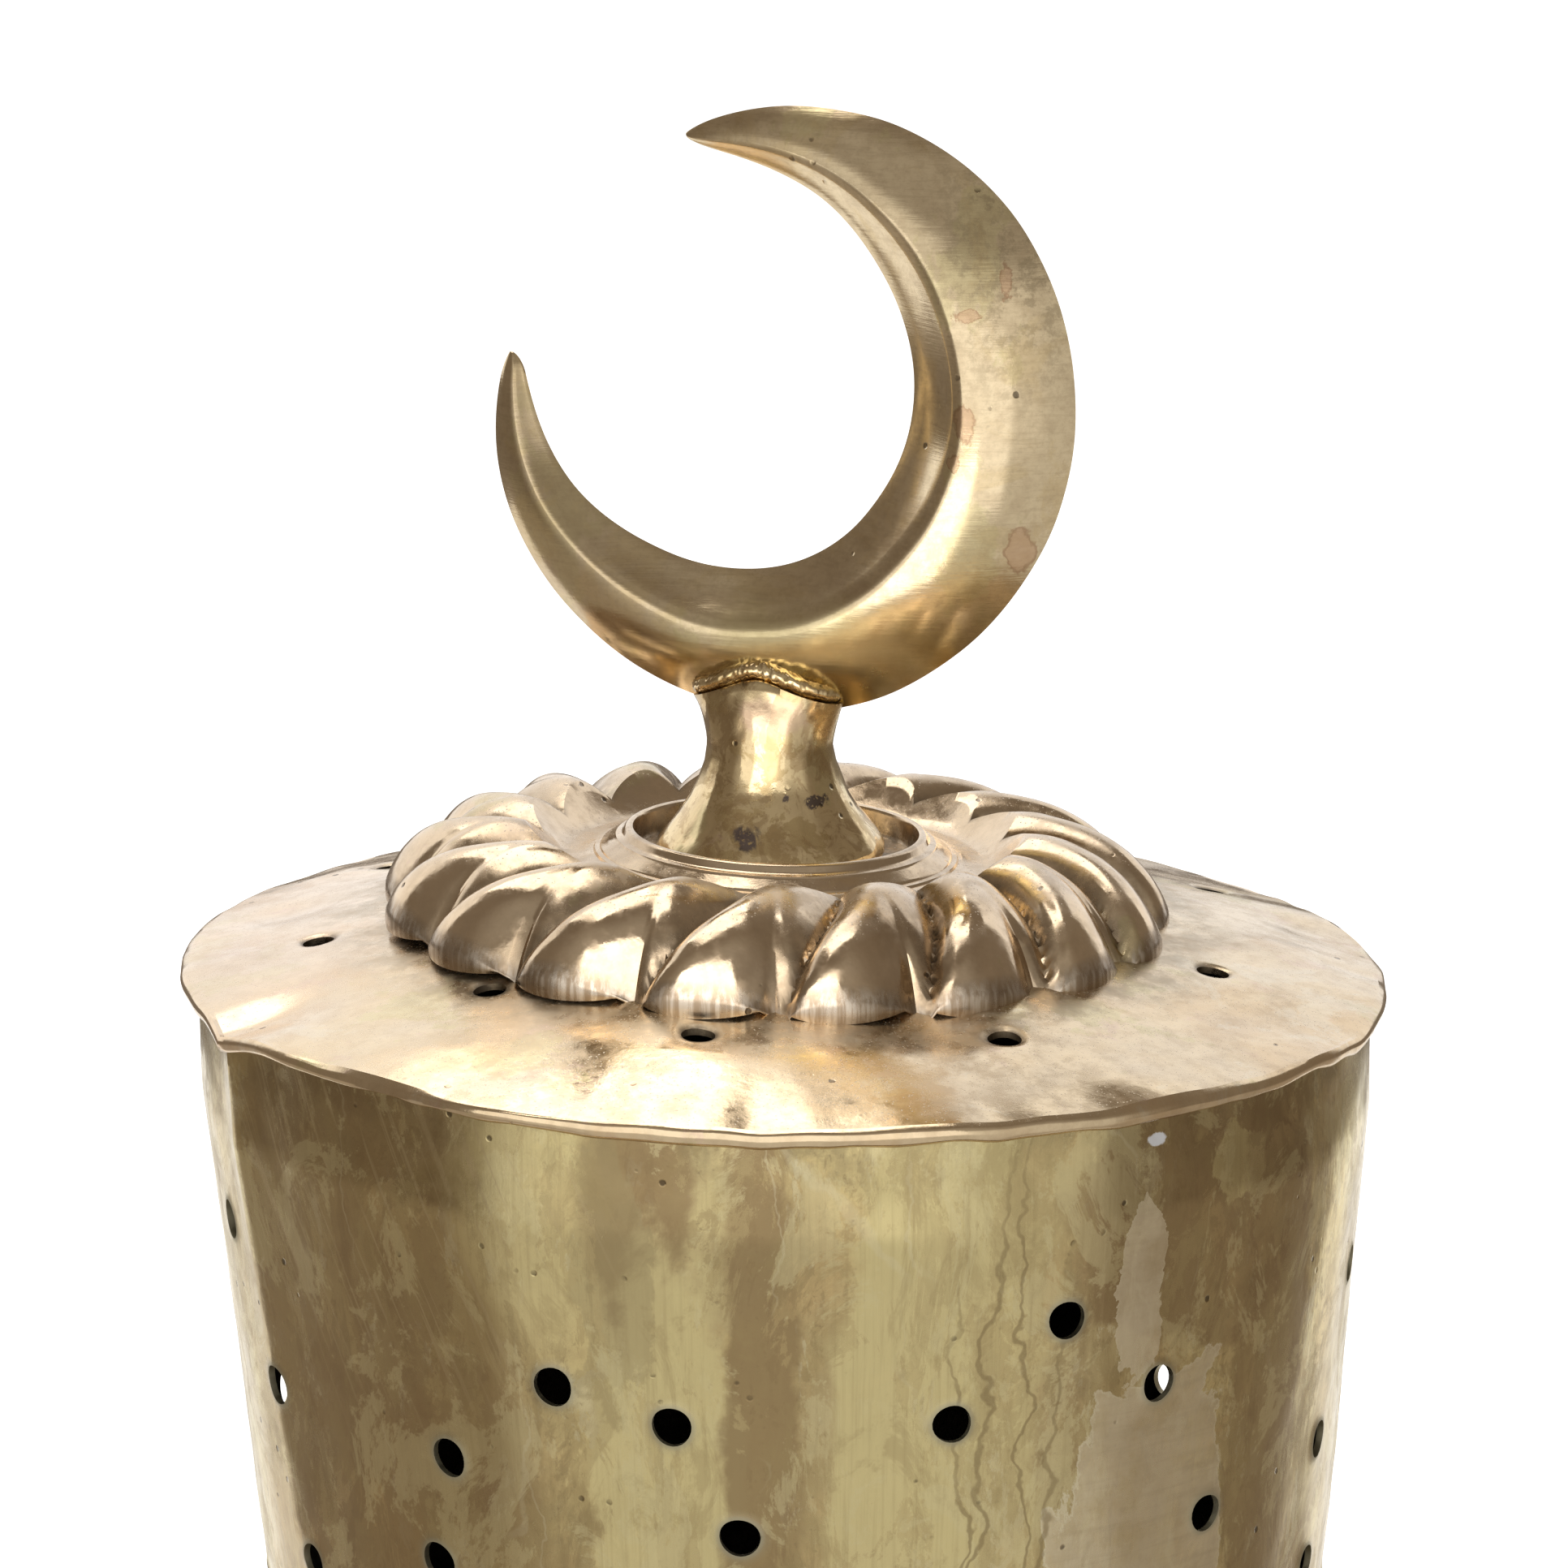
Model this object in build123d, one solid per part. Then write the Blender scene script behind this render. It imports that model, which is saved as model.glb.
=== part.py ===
from build123d import *
import os
from math import atan2, cos, degrees, hypot, pi, radians, sin, sqrt

# A standing brass censer: a pierced hood with a crescent handle, which lifts off a footed dish.
# Inside stands a lift-out ember pan on a low trivet. Millimetres, +Z up, origin on the table under the axis.
# Azimuths run from the front (-Y) towards +X. Heights on the hood are counted from its rim.

os.makedirs("parts", exist_ok=True)

# Driving dimensions
RIM_Z = 180.0  # height of the hood's rim above the table
RIM_R = 75.0  # radius of the folded rim
HOOD_H = 160.0  # rim to hem
DOME_RISE = 10.0  # how far the cap plate is domed
SHEET = 0.8  # gauge of the hood's sheet
WALL_R = 73.0  # the wall is upright for its first part
STRAIGHT_H = 14.0
TAPER = 0.1  # then it draws in by this much per millimetre
VENT_R = 2.0  # punched vents in the cap plate
PUNCH_R = 2.35  # punched holes in the wall
GAP = 0.3  # air between bodies that only rest on each other
FOOT_H = 18.5
DISH_SHEET = 1.2
DISH_R = 100.0
CLEARANCE = 0.06  # radial play of the bail's ends in their ears

# Worked out from them
FLOOR_Z = FOOT_H + DISH_SHEET
DOME_R = (RIM_R**2 + DOME_RISE**2) / (2 * DOME_RISE)
HEM_Z = -HOOD_H


def at(azimuth, radius, z):
    """The point at that azimuth, radius and height."""
    return (radius * sin(radians(azimuth)), -radius * cos(radians(azimuth)), z)


def dome_z(radius, below=0.0):
    """Height over the rim of the cap plate's top, or of the surface that far under it."""
    return sqrt((DOME_R - below) ** 2 - radius**2) - (DOME_R - DOME_RISE)


def wall_r(depth):
    """Outer radius of the wall at that depth under the rim."""
    return WALL_R - TAPER * max(0.0, depth - STRAIGHT_H)


def turned(edges, angle=360):
    """Revolves a closed outline of radius and height about the axis."""
    return revolve(Plane.XZ * make_face(edges), Axis.Z, angle)


def turned_polygon(points, lift=0.0, angle=360):
    outline = Polyline([(r, z + lift) for r, z in points], close=True)
    return turned(outline, angle)


def tube_ring(radius, z, outer, inner=0.0):
    """A ring of round section about the axis, hollow if inner is given."""
    section = Circle(outer) - Circle(inner) if inner else Circle(outer)
    return revolve(Plane.XZ * Pos(radius, z) * section, Axis.Z)


def disc(radius, low, high, hole=0.0):
    solid = Pos(0, 0, low) * extrude(Circle(radius), high - low)
    if hole:
        solid -= Pos(0, 0, low) * extrude(Circle(hole), high - low)
    return solid


def peg(point, direction, radius, length):
    """A cylinder from point along direction."""
    return extrude(Plane(origin=point, z_dir=direction) * Circle(radius), length)


def rivet(point, direction, shank_r, grip, head_r, head_h):
    """A rivet whose head sits at point, facing along direction, with its tail closed after grip."""
    back = tuple(-c for c in direction)
    far = tuple(p + grip * b for p, b in zip(point, back))
    ball_r = (head_r**2 + head_h**2) / (2 * head_h)
    body = peg(point, back, shank_r, grip)
    for base, way in ((point, direction), (far, back)):
        place = Plane(origin=base, z_dir=way)
        ball = place * Pos(0, 0, head_h - ball_r) * Sphere(ball_r)
        body += ball & extrude(place * Circle(head_r + 1), head_h + 1)
    return body


def around(count, start=0.0):
    return [start + 360.0 * k / count for k in range(count)]


# ---- finial: crescent on a waisted stem -------------------------------------------------------

CRESCENT_X = -0.5
CRESCENT_Z = 70.3
CRESCENT_YAW = -18.0  # turned about the axis, right limb forward
THICK_AT = -39.5  # direction of the widest part, from level right
HORN_AT = 149.5  # horn tips, either way from the widest part
# outer edge and width, from the left horn to the upper one, at steps that close up at the horns
OUTER_EDGE = (35.2, 36.6, 38.2, 38.4, 38.1, 37.0, 37.6, 38.6, 37.3, 36.1, 35.2)
WIDTH = (0.9, 3.5, 8.6, 14.6, 18.7, 20.5, 20.4, 17.7, 10.3, 4.4, 0.9)
RIDGE_SHARE = 0.37  # the ridge's place, as a share of the width from the inner edge
THICKNESS_SHARE = 0.66  # thickness over width
STEM_X = -1.7
SEAT_Z = 14.0  # floor of the rosette's recess
STUD_R = 3.0


def between(values, share):
    """A smooth curve through evenly spaced values, at a share of its length."""
    place = share * (len(values) - 1)
    k = min(int(place), len(values) - 2)
    t = place - k
    before = values[max(k - 1, 0)]
    after = values[min(k + 2, len(values) - 1)]
    a, b = values[k], values[k + 1]
    bend = (2 * before - 5 * a + 4 * b - after) * t**2 + (3 * a - before - 3 * b + after) * t**3
    return a + 0.5 * ((b - before) * t + bend)


def crescent():
    sections = []
    steps = 36
    for k in range(steps + 1):
        share = k / steps
        turn = THICK_AT - HORN_AT * cos(pi * share)
        outer = between(OUTER_EDGE, share)
        width = between(WIDTH, share)
        inner = outer - width
        ridge = inner + RIDGE_SHARE * width
        half = THICKNESS_SHARE * width / 2
        plane = Plane(origin=(0, 0, 0), x_dir=(cos(radians(turn)), 0, sin(radians(turn))),
                      z_dir=(sin(radians(turn)), 0, -cos(radians(turn))))
        corners = [(inner, 0), (ridge, half), (outer, 0), (ridge, -half)]
        sections.append(make_face(plane * Polyline(corners, close=True)))
    body = loft(sections, ruled=True)
    return Pos(CRESCENT_X, 0, RIM_Z + CRESCENT_Z) * Rot(0, 0, CRESCENT_YAW) * body


def finial_stem(moon):
    low, high = RIM_Z + SEAT_Z, RIM_Z + 36.0
    edges = [
        Line((0, low), (13.6, low)),
        ThreePointArc((13.6, low), (14.3, low + 0.9), (13.9, low + 2.0)),
        ThreePointArc((13.9, low + 2.0), (9.1, low + 8.0), (7.7, low + 14.0)),
        ThreePointArc((7.7, low + 14.0), (8.2, low + 18.0), (9.8, high)),
        Line((9.8, high), (0, high)),
        Line((0, high), (0, low)),
    ]
    stem = Pos(STEM_X, 0, 0) * turned(edges) - moon
    return largest(stem - peg((STEM_X, 0, low - 1), (0, 0, 1), STUD_R, 10.6))


def largest(shape):
    """The biggest of the solids that a cut leaves."""
    return max(shape.solids(), key=lambda s: s.volume)


def finial_stud():
    return peg((STEM_X, 0, RIM_Z + 1.5), (0, 0, 1), STUD_R, SEAT_Z - 1.5 + 9.5)


def backing_washer():
    washer = disc(11.0, RIM_Z + 7.4, RIM_Z + 8.9, STUD_R + 0.2)
    return Pos(STEM_X, 0, 0) * washer


def stud_nut():
    across_corners_r = 5.77
    nut = Pos(STEM_X, 0, RIM_Z + 2.9) * extrude(RegularPolygon(across_corners_r, 6), 4.5)
    return nut - peg((STEM_X, 0, RIM_Z), (0, 0, 1), STUD_R, 10)


# ---- rosette: a cast swirl of lobes under the stem ---------------------------------------------

ROSETTE_R = 49.0
LOBES = 17
ROSETTE_X = -1.0
SWIRL = 17.0  # degrees a lobe turns between its two ends


def rosette():
    low = dome_z(ROSETTE_R) - 0.5
    dome = Pos(-ROSETTE_X, 0, DOME_RISE - DOME_R) * Sphere(DOME_R)
    outline = [
        Line((0, SEAT_Z), (17.2, SEAT_Z)),
        Line((17.2, SEAT_Z), (17.2, 17.3)),
        Line((17.2, 17.3), (18.4, 17.3)),
        Line((18.4, 17.3), (22.5, 14.6)),
        ThreePointArc((22.5, 14.6), (25.5, 13.8), (28.2, 14.6)),
        Line((28.2, 14.6), (30.5, 17.4)),
        ThreePointArc((30.5, 17.4), (41.5, 15.0), (48.4, 8.8)),
        Line((48.4, 8.8), (ROSETTE_R, 7.8)),
        Line((ROSETTE_R, 7.8), (ROSETTE_R, low)),
        Line((ROSETTE_R, low), (46.5, low)),
        Line((46.5, low), (45.8, 7.6)),
        Line((45.8, 7.6), (38.0, 11.2)),
        Line((38.0, 11.2), (9.0, 11.2)),
        Line((9.0, 11.2), (9.0, 9.5)),
        Line((9.0, 9.5), (0, 9.5)),
        Line((0, 9.5), (0, SEAT_Z)),
    ]
    path = ThreePointArc(at(0, 28.5, 18.0), at(-6.5, 41.0, 17.4), at(-SWIRL, 50.4, 7.6))
    plane = Plane(origin=path @ 0, z_dir=path % 0)
    groove = sweep(plane * Circle(2.5), path=path)
    grooves = [Rot(0, 0, turn) * groove for turn in around(LOBES, 1.8 + SWIRL)]
    body = largest(turned(outline) - grooves - dome)
    return Pos(ROSETTE_X, 0, RIM_Z) * body - peg((STEM_X, 0, RIM_Z), (0, 0, 1), STUD_R, 30)


# ---- cap plate: a domed sheet disc folded over the wall's flange ---------------------------------

VENTS = ((-83, 58), (-45, 49.5), (-11, 52.5), (28, 55), (72, 55), (119, 63), (158, 57), (-162, 56), (-122, 60))


def cap_plate():
    edge = RIM_R - 0.8
    middle = RIM_R / 2
    low = -3 * SHEET
    bend = RIM_R - 0.4
    edges = [
        Line((0, DOME_RISE), (0, dome_z(0, SHEET))),
        ThreePointArc((0, dome_z(0, SHEET)), (middle, dome_z(middle, SHEET)), (edge, -SHEET)),
        Line((edge, -SHEET), (edge, low + SHEET)),
        Line((edge, low + SHEET), (73.25, low + SHEET)),
        Line((73.25, low + SHEET), (73.25, low)),
        Line((73.25, low), (bend, low)),
        ThreePointArc((bend, low), (RIM_R, low / 2), (bend, dome_z(bend))),
        ThreePointArc((bend, dome_z(bend)), (middle, dome_z(middle)), (0, DOME_RISE)),
    ]
    plate = Pos(0, 0, RIM_Z) * turned(edges)
    vents = [peg(at(az, r, RIM_Z - 1), (0, 0, 1), VENT_R, 12) for az, r in VENTS]
    return plate - vents - peg((STEM_X, 0, RIM_Z), (0, 0, 1), STUD_R, 12)


# ---- hood wall: pierced sheet, lapped and riveted at the back, wired at the hem -------------------

# hand-punched marks, azimuth and depth under the rim: four motifs of the front half
FRONT_PUNCHES = (
    ((-70, 26.5), (-62.5, 44.5), (-60, 66.5), (-82, 78), (-104, 61), (-108, 43), (-97, 29)),
    ((-22.5, 33.5), (-11, 37), (-5, 50.5), (-8, 66), (-19, 75), (-32, 73), (-38, 59), (-35, 45)),
    ((27, 25.5), (38, 36), (45.5, 55), (39, 71), (27, 79), (15.5, 72), (8, 58), (15.5, 37)),
    ((77, 33.5), (69.5, 54), (69.5, 70.5), (82, 79), (98, 74), (107, 60), (106, 42), (95, 28)),
)
# regular rings of eight at the back, and the lower tier: azimuth, depth, radius and first angle
BACK_RINGS = ((141, 52, 21, 12), (-153, 50, 19, 0))
LOWER_RINGS = tuple((az, 115, 18, 22.5) for az in (-150, -100, -50, 2, 55, 104, 150))
SEAM_AT = 180
SEAM_LAP = 10  # degrees that the sheet's ends overlap
SEAM_RIVETS = 9
WIRE_R = 1.2
ROLL_R = 2.05
ROLL_AT = (wall_r(HOOD_H - ROLL_R) - SHEET + ROLL_R, HEM_Z + ROLL_R)


def ring_marks(azimuth, depth, radius, first):
    per_degree = wall_r(depth) * pi / 180
    turns = [radians(a) for a in around(8, first)]
    return [(azimuth + radius * cos(t) / per_degree, depth - radius * sin(t)) for t in turns]


def punch_marks():
    marks = [mark for motif in FRONT_PUNCHES for mark in motif]
    for ring in BACK_RINGS + LOWER_RINGS:
        marks += ring_marks(*ring)
    return marks


def seam_points():
    """Where each seam rivet's head sits on the lap, with its outward direction."""
    depths = [12 + 17 * k for k in range(SEAM_RIVETS)]
    points = []
    for d in depths:
        out = Vector(at(SEAM_AT, 1, -TAPER if d > STRAIGHT_H else 0)).normalized()
        points.append((at(SEAM_AT, wall_r(d) + SHEET, RIM_Z - d), tuple(out)))
    return points


def hood_wall():
    low = ROLL_AT[1]
    skin = [
        (72.2, -0.85), (74.1, -0.85), (74.1, -1.55), (WALL_R, -1.55), (WALL_R, -STRAIGHT_H),
        (wall_r(-low), low), (wall_r(-low) - SHEET, low), (WALL_R - SHEET, -STRAIGHT_H),
    ]
    wall = turned_polygon(skin, RIM_Z)
    top, end = 3.0, 154.0
    lap = [
        (WALL_R, -top), (WALL_R + SHEET, -top), (WALL_R + SHEET, -STRAIGHT_H),
        (wall_r(end) + SHEET, -end), (wall_r(end), -end), (WALL_R, -STRAIGHT_H),
    ]
    wall += Rot(0, 0, 90 - SEAM_LAP / 2) * turned_polygon(lap, RIM_Z, SEAM_LAP)
    wall += Pos(0, 0, RIM_Z) * tube_ring(*ROLL_AT, ROLL_R, WIRE_R + 0.05)
    holes = [
        peg(at(az, wall_r(d) - 6, RIM_Z - d), at(az, 1, 0), PUNCH_R, 12) for az, d in punch_marks()
    ]
    holes += [rivet_hole(point, out) for point, out in seam_points()]
    return wall - holes


def rivet_hole(point, out):
    back = tuple(-c for c in out)
    return peg(point, back, 1.2, 4)


def seam_rivets():
    grip = 2 * SHEET + 0.05
    return [rivet(point, out, 1.2, grip, 2.3, 1.0) for point, out in seam_points()]


def hem_wire():
    return Pos(0, 0, RIM_Z) * tube_ring(*ROLL_AT, WIRE_R)


# ---- base: spun dish on three cast feet, with a collar that centres the hood --------------------

FLAT_R = 80.0  # the dish floor is flat out to here
COVE_R = 16.0
RIM_ROLL = 2.2
COLLAR_R = 62.4
COLLAR_H = 12.0
COLLAR_RIVET_R = 67.6
FOOT_SCREW_R = 76.0
FOOT_SCREW_HALF = 5.5
FEET = around(3, 0)
LEG_R = 31.0
LEGS = around(3, 60)


def foot_screw_points():
    points = []
    for azimuth in FEET:
        turn = degrees(atan2(FOOT_SCREW_HALF, FOOT_SCREW_R))
        radius = hypot(FOOT_SCREW_HALF, FOOT_SCREW_R)
        points += [at(azimuth - turn, radius, FLOOR_Z), at(azimuth + turn, radius, FLOOR_Z)]
    return points


def collar_rivet_points():
    return [at(azimuth, COLLAR_RIVET_R, FLOOR_Z + DISH_SHEET) for azimuth in around(6, 30)]


def base_dish():
    centre = FOOT_H + COVE_R
    slope = radians(-30)

    def cove(radius, along=0.0, turn=slope):
        return (FLAT_R + radius * cos(turn) + along * sin(-slope),
                centre + radius * sin(turn) + along * cos(slope))

    inner = COVE_R - DISH_SHEET
    edges = [
        Line((0, FOOT_H), (FLAT_R, FOOT_H)),
        ThreePointArc((FLAT_R, FOOT_H), cove(COVE_R, 0, radians(-60)), cove(COVE_R)),
        Line(cove(COVE_R), cove(COVE_R, 5.0)),
        Line(cove(COVE_R, 5.0), cove(inner, 5.0)),
        Line(cove(inner, 5.0), cove(inner)),
        ThreePointArc(cove(inner), cove(inner, 0, radians(-60)), (FLAT_R, FLOOR_Z)),
        Line((FLAT_R, FLOOR_Z), (0, FLOOR_Z)),
        Line((0, FLOOR_Z), (0, FOOT_H)),
    ]
    dish = turned(edges) + tube_ring(DISH_R - RIM_ROLL, 32.2, RIM_ROLL, 1.2)
    down = (0, 0, -1)
    holes = [peg(point, down, 2.0, 4) for point in foot_screw_points()]
    holes += [peg(point, down, 1.6, 4) for point in collar_rivet_points()]
    holes += [peg(at(azimuth, LEG_R, FLOOR_Z), down, 1.8, 4) for azimuth in LEGS]
    return dish - holes


def collar_ring():
    top = FLOOR_Z + COLLAR_H
    flange = FLOOR_Z + DISH_SHEET
    outline = [
        (COLLAR_R, FLOOR_Z), (71.6, FLOOR_Z), (71.6, flange),
        (COLLAR_R + 1.2, flange), (COLLAR_R + 1.2, top), (COLLAR_R, top),
    ]
    ring = turned_polygon(outline)
    return ring - [peg(point, (0, 0, -1), 1.6, 4) for point in collar_rivet_points()]


def collar_rivets():
    grip = 2 * DISH_SHEET
    return [rivet(point, (0, 0, 1), 1.6, grip, 3.0, 1.4) for point in collar_rivet_points()]


def foot(azimuth):
    """A cast foot: a pad under the dish, curling out and down to a flat toe."""
    edges = [
        Line((64, FOOT_H), (86, FOOT_H)),
        ThreePointArc((86, FOOT_H), (91.0, 12.0), (89.2, 4.0)),
        ThreePointArc((89.2, 4.0), (88.6, 1.6), (87.0, 0)),
        Line((87.0, 0), (76.5, 0)),
        ThreePointArc((76.5, 0), (78.4, 6.0), (72.5, 10.4)),
        ThreePointArc((72.5, 10.4), (67.5, 12.6), (64, FOOT_H)),
    ]
    body = Rot(0, 0, azimuth - 90) * extrude(Plane.XZ * make_face(edges), 9, both=True)
    return body - [peg(point, (0, 0, -1), 2.0, 9.5) for point in foot_screw_points()]


def foot_screws():
    """Slotted cheese-head screws, down through the dish into the feet."""
    screws = []
    for x, y, z in foot_screw_points():
        head = peg((x, y, z), (0, 0, 1), 3.5, 2.2) - Pos(x, y, z + 2.2) * Box(9, 1.0, 1.8)
        screws.append(head + peg((x, y, z), (0, 0, -1), 2.0, 8.5))
    return screws


# ---- trivet under the ember pan -------------------------------------------------------------------

TRIVET_Z = FLOOR_Z + 11.5
TRIVET_T = 2.0


def trivet_ring():
    ring = disc(37.0, TRIVET_Z, TRIVET_Z + TRIVET_T, 25.0)
    return ring - [peg(at(az, LEG_R, TRIVET_Z), (0, 0, 1), 1.8, TRIVET_T) for az in LEGS]


def trivet_leg(azimuth):
    """A turned post, its ends reduced and riveted over through the dish and the ring."""
    x, y, _ = at(azimuth, LEG_R, 0)
    post = peg((x, y, FLOOR_Z), (0, 0, 1), 3.2, TRIVET_Z - FLOOR_Z)
    post += peg((x, y, TRIVET_Z), (0, 0, 1), 1.8, TRIVET_T)
    return post + rivet((x, y, FOOT_H), (0, 0, -1), 1.8, DISH_SHEET, 2.9, 1.2)


# ---- ember pan with its grate, ears and bail -------------------------------------------------------

PAN_Z = TRIVET_Z + TRIVET_T + GAP
PAN_SHEET = 1.0
PAN_R = 43.0
LIP_R = 47.0
LIP_Z = PAN_Z + 27.5
BAIL_WIRE = 1.5
BAIL_Z = LIP_Z + GAP + BAIL_WIRE
BAIL_R = 44.8
EAR_X = 41.7  # the ears' outer faces
EAR_RIVETS = (LIP_Z - 4.5, LIP_Z - 10.0)


def ember_pan():
    z = PAN_Z
    outline = [
        (0, z), (30, z), (PAN_R, z + 13.5), (PAN_R, LIP_Z - PAN_SHEET), (LIP_R, LIP_Z - PAN_SHEET),
        (LIP_R, LIP_Z), (PAN_R - PAN_SHEET, LIP_Z), (PAN_R - PAN_SHEET, z + 13.9), (29.6, z + 1), (0, z + 1),
    ]
    pan = turned_polygon(outline)
    holes = [peg((side * 40, 0, h), (side, 0, 0), 1.2, 5) for side in (-1, 1) for h in EAR_RIVETS]
    return pan - holes


def ember_grate():
    grate = disc(36.2, PAN_Z + 8.5, PAN_Z + 9.9)
    marks = [(0, 0)] + [(az, 11) for az in around(6)] + [(az, 22) for az in around(12, 15)]
    return grate - [peg(at(az, r, PAN_Z + 8), (0, 0, 1), 2.6, 3) for az, r in marks]


def pan_ear(side):
    """A flat lug riveted inside the pan's wall, with a hole for the bail."""
    low, high = EAR_RIVETS[1] - 3.5, BAIL_Z
    half = 4.5
    inner = side * (EAR_X - PAN_SHEET)
    plate = Plane(origin=(inner, 0, 0), x_dir=(0, 1, 0), z_dir=(side, 0, 0))
    way = 1 if plate.y_dir.Z > 0 else -1
    shape = Pos(0, way * (low + high) / 2) * Rectangle(2 * half, high - low) + Pos(0, way * high) * Circle(half)
    ear = extrude(plate * shape, PAN_SHEET)
    ear -= peg((side * 38, 0, BAIL_Z), (side, 0, 0), BAIL_WIRE + CLEARANCE, 6)
    return ear - [peg((side * 38, 0, h), (side, 0, 0), 1.2, 6) for h in EAR_RIVETS]


def ear_rivets():
    inner = EAR_X - PAN_SHEET
    grip = PAN_R - inner
    return [
        rivet((side * inner, 0, h), (-side, 0, 0), 1.2, grip, 2.2, 0.9)
        for side in (-1, 1)
        for h in EAR_RIVETS
    ]


def pan_bail():
    """A wire bow whose ends turn in through the ears and are upset. It lies on the pan's lip."""
    bend = 2.5
    x = sqrt(BAIL_R**2 - 2 * BAIL_R * bend)
    share = BAIL_R / (BAIL_R - bend)
    meet = (x * share, -bend * share)
    turn = atan2(meet[1] + bend, meet[0] - x)
    half = (radians(90) + turn) / 2
    knee = (x + bend * cos(half), -bend + bend * sin(half))
    inner = 38.4

    def point(p, side=1):
        return (side * p[0], p[1], BAIL_Z)

    path = Wire([
        Line(point((inner, 0)), point((x, 0))),
        ThreePointArc(point((x, 0)), point(knee), point(meet)),
        ThreePointArc(point(meet), point((0, -BAIL_R)), point(meet, -1)),
        ThreePointArc(point(meet, -1), point(knee, -1), point((x, 0), -1)),
        Line(point((x, 0), -1), point((inner, 0), -1)),
    ])
    start = Plane(origin=point((inner, 0)), z_dir=(1, 0, 0))
    wire = sweep(start * Circle(BAIL_WIRE), path=path)
    ends = [Pos(*point((inner - 0.4, 0), side)) * Sphere(2.1) for side in (-1, 1)]
    return wire + ends


def save(name, shapes):
    """Writes one node. A list of like pieces goes out as separate solids."""
    shape = Compound(children=list(shapes)) if isinstance(shapes, list) else shapes
    export_step(shape, f"parts/{name}.step")


def main():
    moon = crescent()
    save("crescent", moon)
    save("finial_stem", finial_stem(moon))
    save("finial_stud", finial_stud())
    save("backing_washer", backing_washer())
    save("stud_nut", stud_nut())
    save("rosette", rosette())
    save("cap_plate", cap_plate())
    save("hood_wall", hood_wall())
    save("seam_rivets", seam_rivets())
    save("hem_wire", hem_wire())
    save("base_dish", base_dish())
    save("collar_ring", collar_ring())
    save("collar_rivets", collar_rivets())
    save("foot_screws", foot_screws())
    for number, azimuth in enumerate(FEET, 1):
        save(f"foot_{number}", foot(azimuth))
    save("trivet_ring", trivet_ring())
    for number, azimuth in enumerate(LEGS, 1):
        save(f"trivet_leg_{number}", trivet_leg(azimuth))
    save("ember_pan", ember_pan())
    save("ember_grate", ember_grate())
    save("pan_ear_left", pan_ear(-1))
    save("pan_ear_right", pan_ear(1))
    save("ear_rivets", ear_rivets())
    save("pan_bail", pan_bail())


main()
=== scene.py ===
from math import atan2, cos, exp, pi, radians, sin, sqrt

import bmesh
import bpy
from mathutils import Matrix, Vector, noise


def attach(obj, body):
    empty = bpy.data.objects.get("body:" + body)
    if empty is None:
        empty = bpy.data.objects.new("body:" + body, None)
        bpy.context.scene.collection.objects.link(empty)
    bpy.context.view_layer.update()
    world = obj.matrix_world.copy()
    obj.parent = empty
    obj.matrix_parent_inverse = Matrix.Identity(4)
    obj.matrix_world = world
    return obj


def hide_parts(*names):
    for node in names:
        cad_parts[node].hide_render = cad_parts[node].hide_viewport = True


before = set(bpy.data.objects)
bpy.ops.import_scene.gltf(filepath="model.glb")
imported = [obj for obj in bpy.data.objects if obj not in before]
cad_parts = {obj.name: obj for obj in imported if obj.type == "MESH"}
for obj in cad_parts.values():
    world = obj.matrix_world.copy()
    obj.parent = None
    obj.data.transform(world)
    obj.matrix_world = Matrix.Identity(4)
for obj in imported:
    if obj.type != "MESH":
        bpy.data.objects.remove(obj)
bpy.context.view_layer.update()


# ---- feet -----------------------------------------------------------------------------------
# Three cast brass feet under the dish. Each is a pad that curls out and down to a flat toe,
# filed on its faces and left rough in the hollow behind.

MM = 0.001  # the scene is in metres, and every size here is in millimetres


def mesh_piece(name, points, faces, sharp=40.0):
    """A smooth mesh from points in millimetres, with edges sharper than that angle kept crisp."""
    mesh = bpy.data.meshes.new(name)
    mesh.from_pydata([(x * MM, y * MM, z * MM) for x, y, z in points], [], faces)
    mesh.validate()
    mesh.shade_smooth()
    mesh.set_sharp_from_angle(angle=radians(sharp))
    piece = bpy.data.objects.new(name, mesh)
    bpy.context.scene.collection.objects.link(piece)
    return piece


def finish_piece(piece, body, slot, materials, *nodes):
    """Gives a piece its materials and its body, and hides the CAD nodes that it stands for. The slot is not
    used.
    """
    for material in materials:
        piece.data.materials.append(material)
    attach(piece, body)
    if nodes:
        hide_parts(*nodes)
    return piece


def strips(loops):
    """Quads between neighbouring closed loops of points. A loop is a list of point numbers."""
    faces = []
    for one, other in zip(loops, loops[1:]):
        for k in range(len(one)):
            n = (k + 1) % len(one)
            faces.append((one[k], one[n], other[n], other[k]))
    return faces


def add_node(tree, kind, values=None, **settings):
    """A shader node, with its settings and its input values or links."""
    made = tree.nodes.new("ShaderNode" + kind)
    for key, value in settings.items():
        setattr(made, key, value)
    for key, value in (values or {}).items():
        if isinstance(value, bpy.types.NodeSocket):
            tree.links.new(value, made.inputs[key])
        else:
            made.inputs[key].default_value = value
    return made


def patchy(tree, where, scale, low, high, detail=6.0, rough=0.6, twist=0.0):
    """A mask of blotches: 0 under low and 1 over high. Close limits give jagged edges."""
    clouds = add_node(tree, "TexNoise", {"Vector": where, "Scale": scale, "Detail": detail,
                                         "Roughness": rough, "Distortion": twist})
    ramp = add_node(tree, "MapRange", {"Value": clouds.outputs["Fac"], "From Min": low, "From Max": high},
                    interpolation_type="SMOOTHSTEP")
    return ramp.outputs["Result"]


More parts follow.
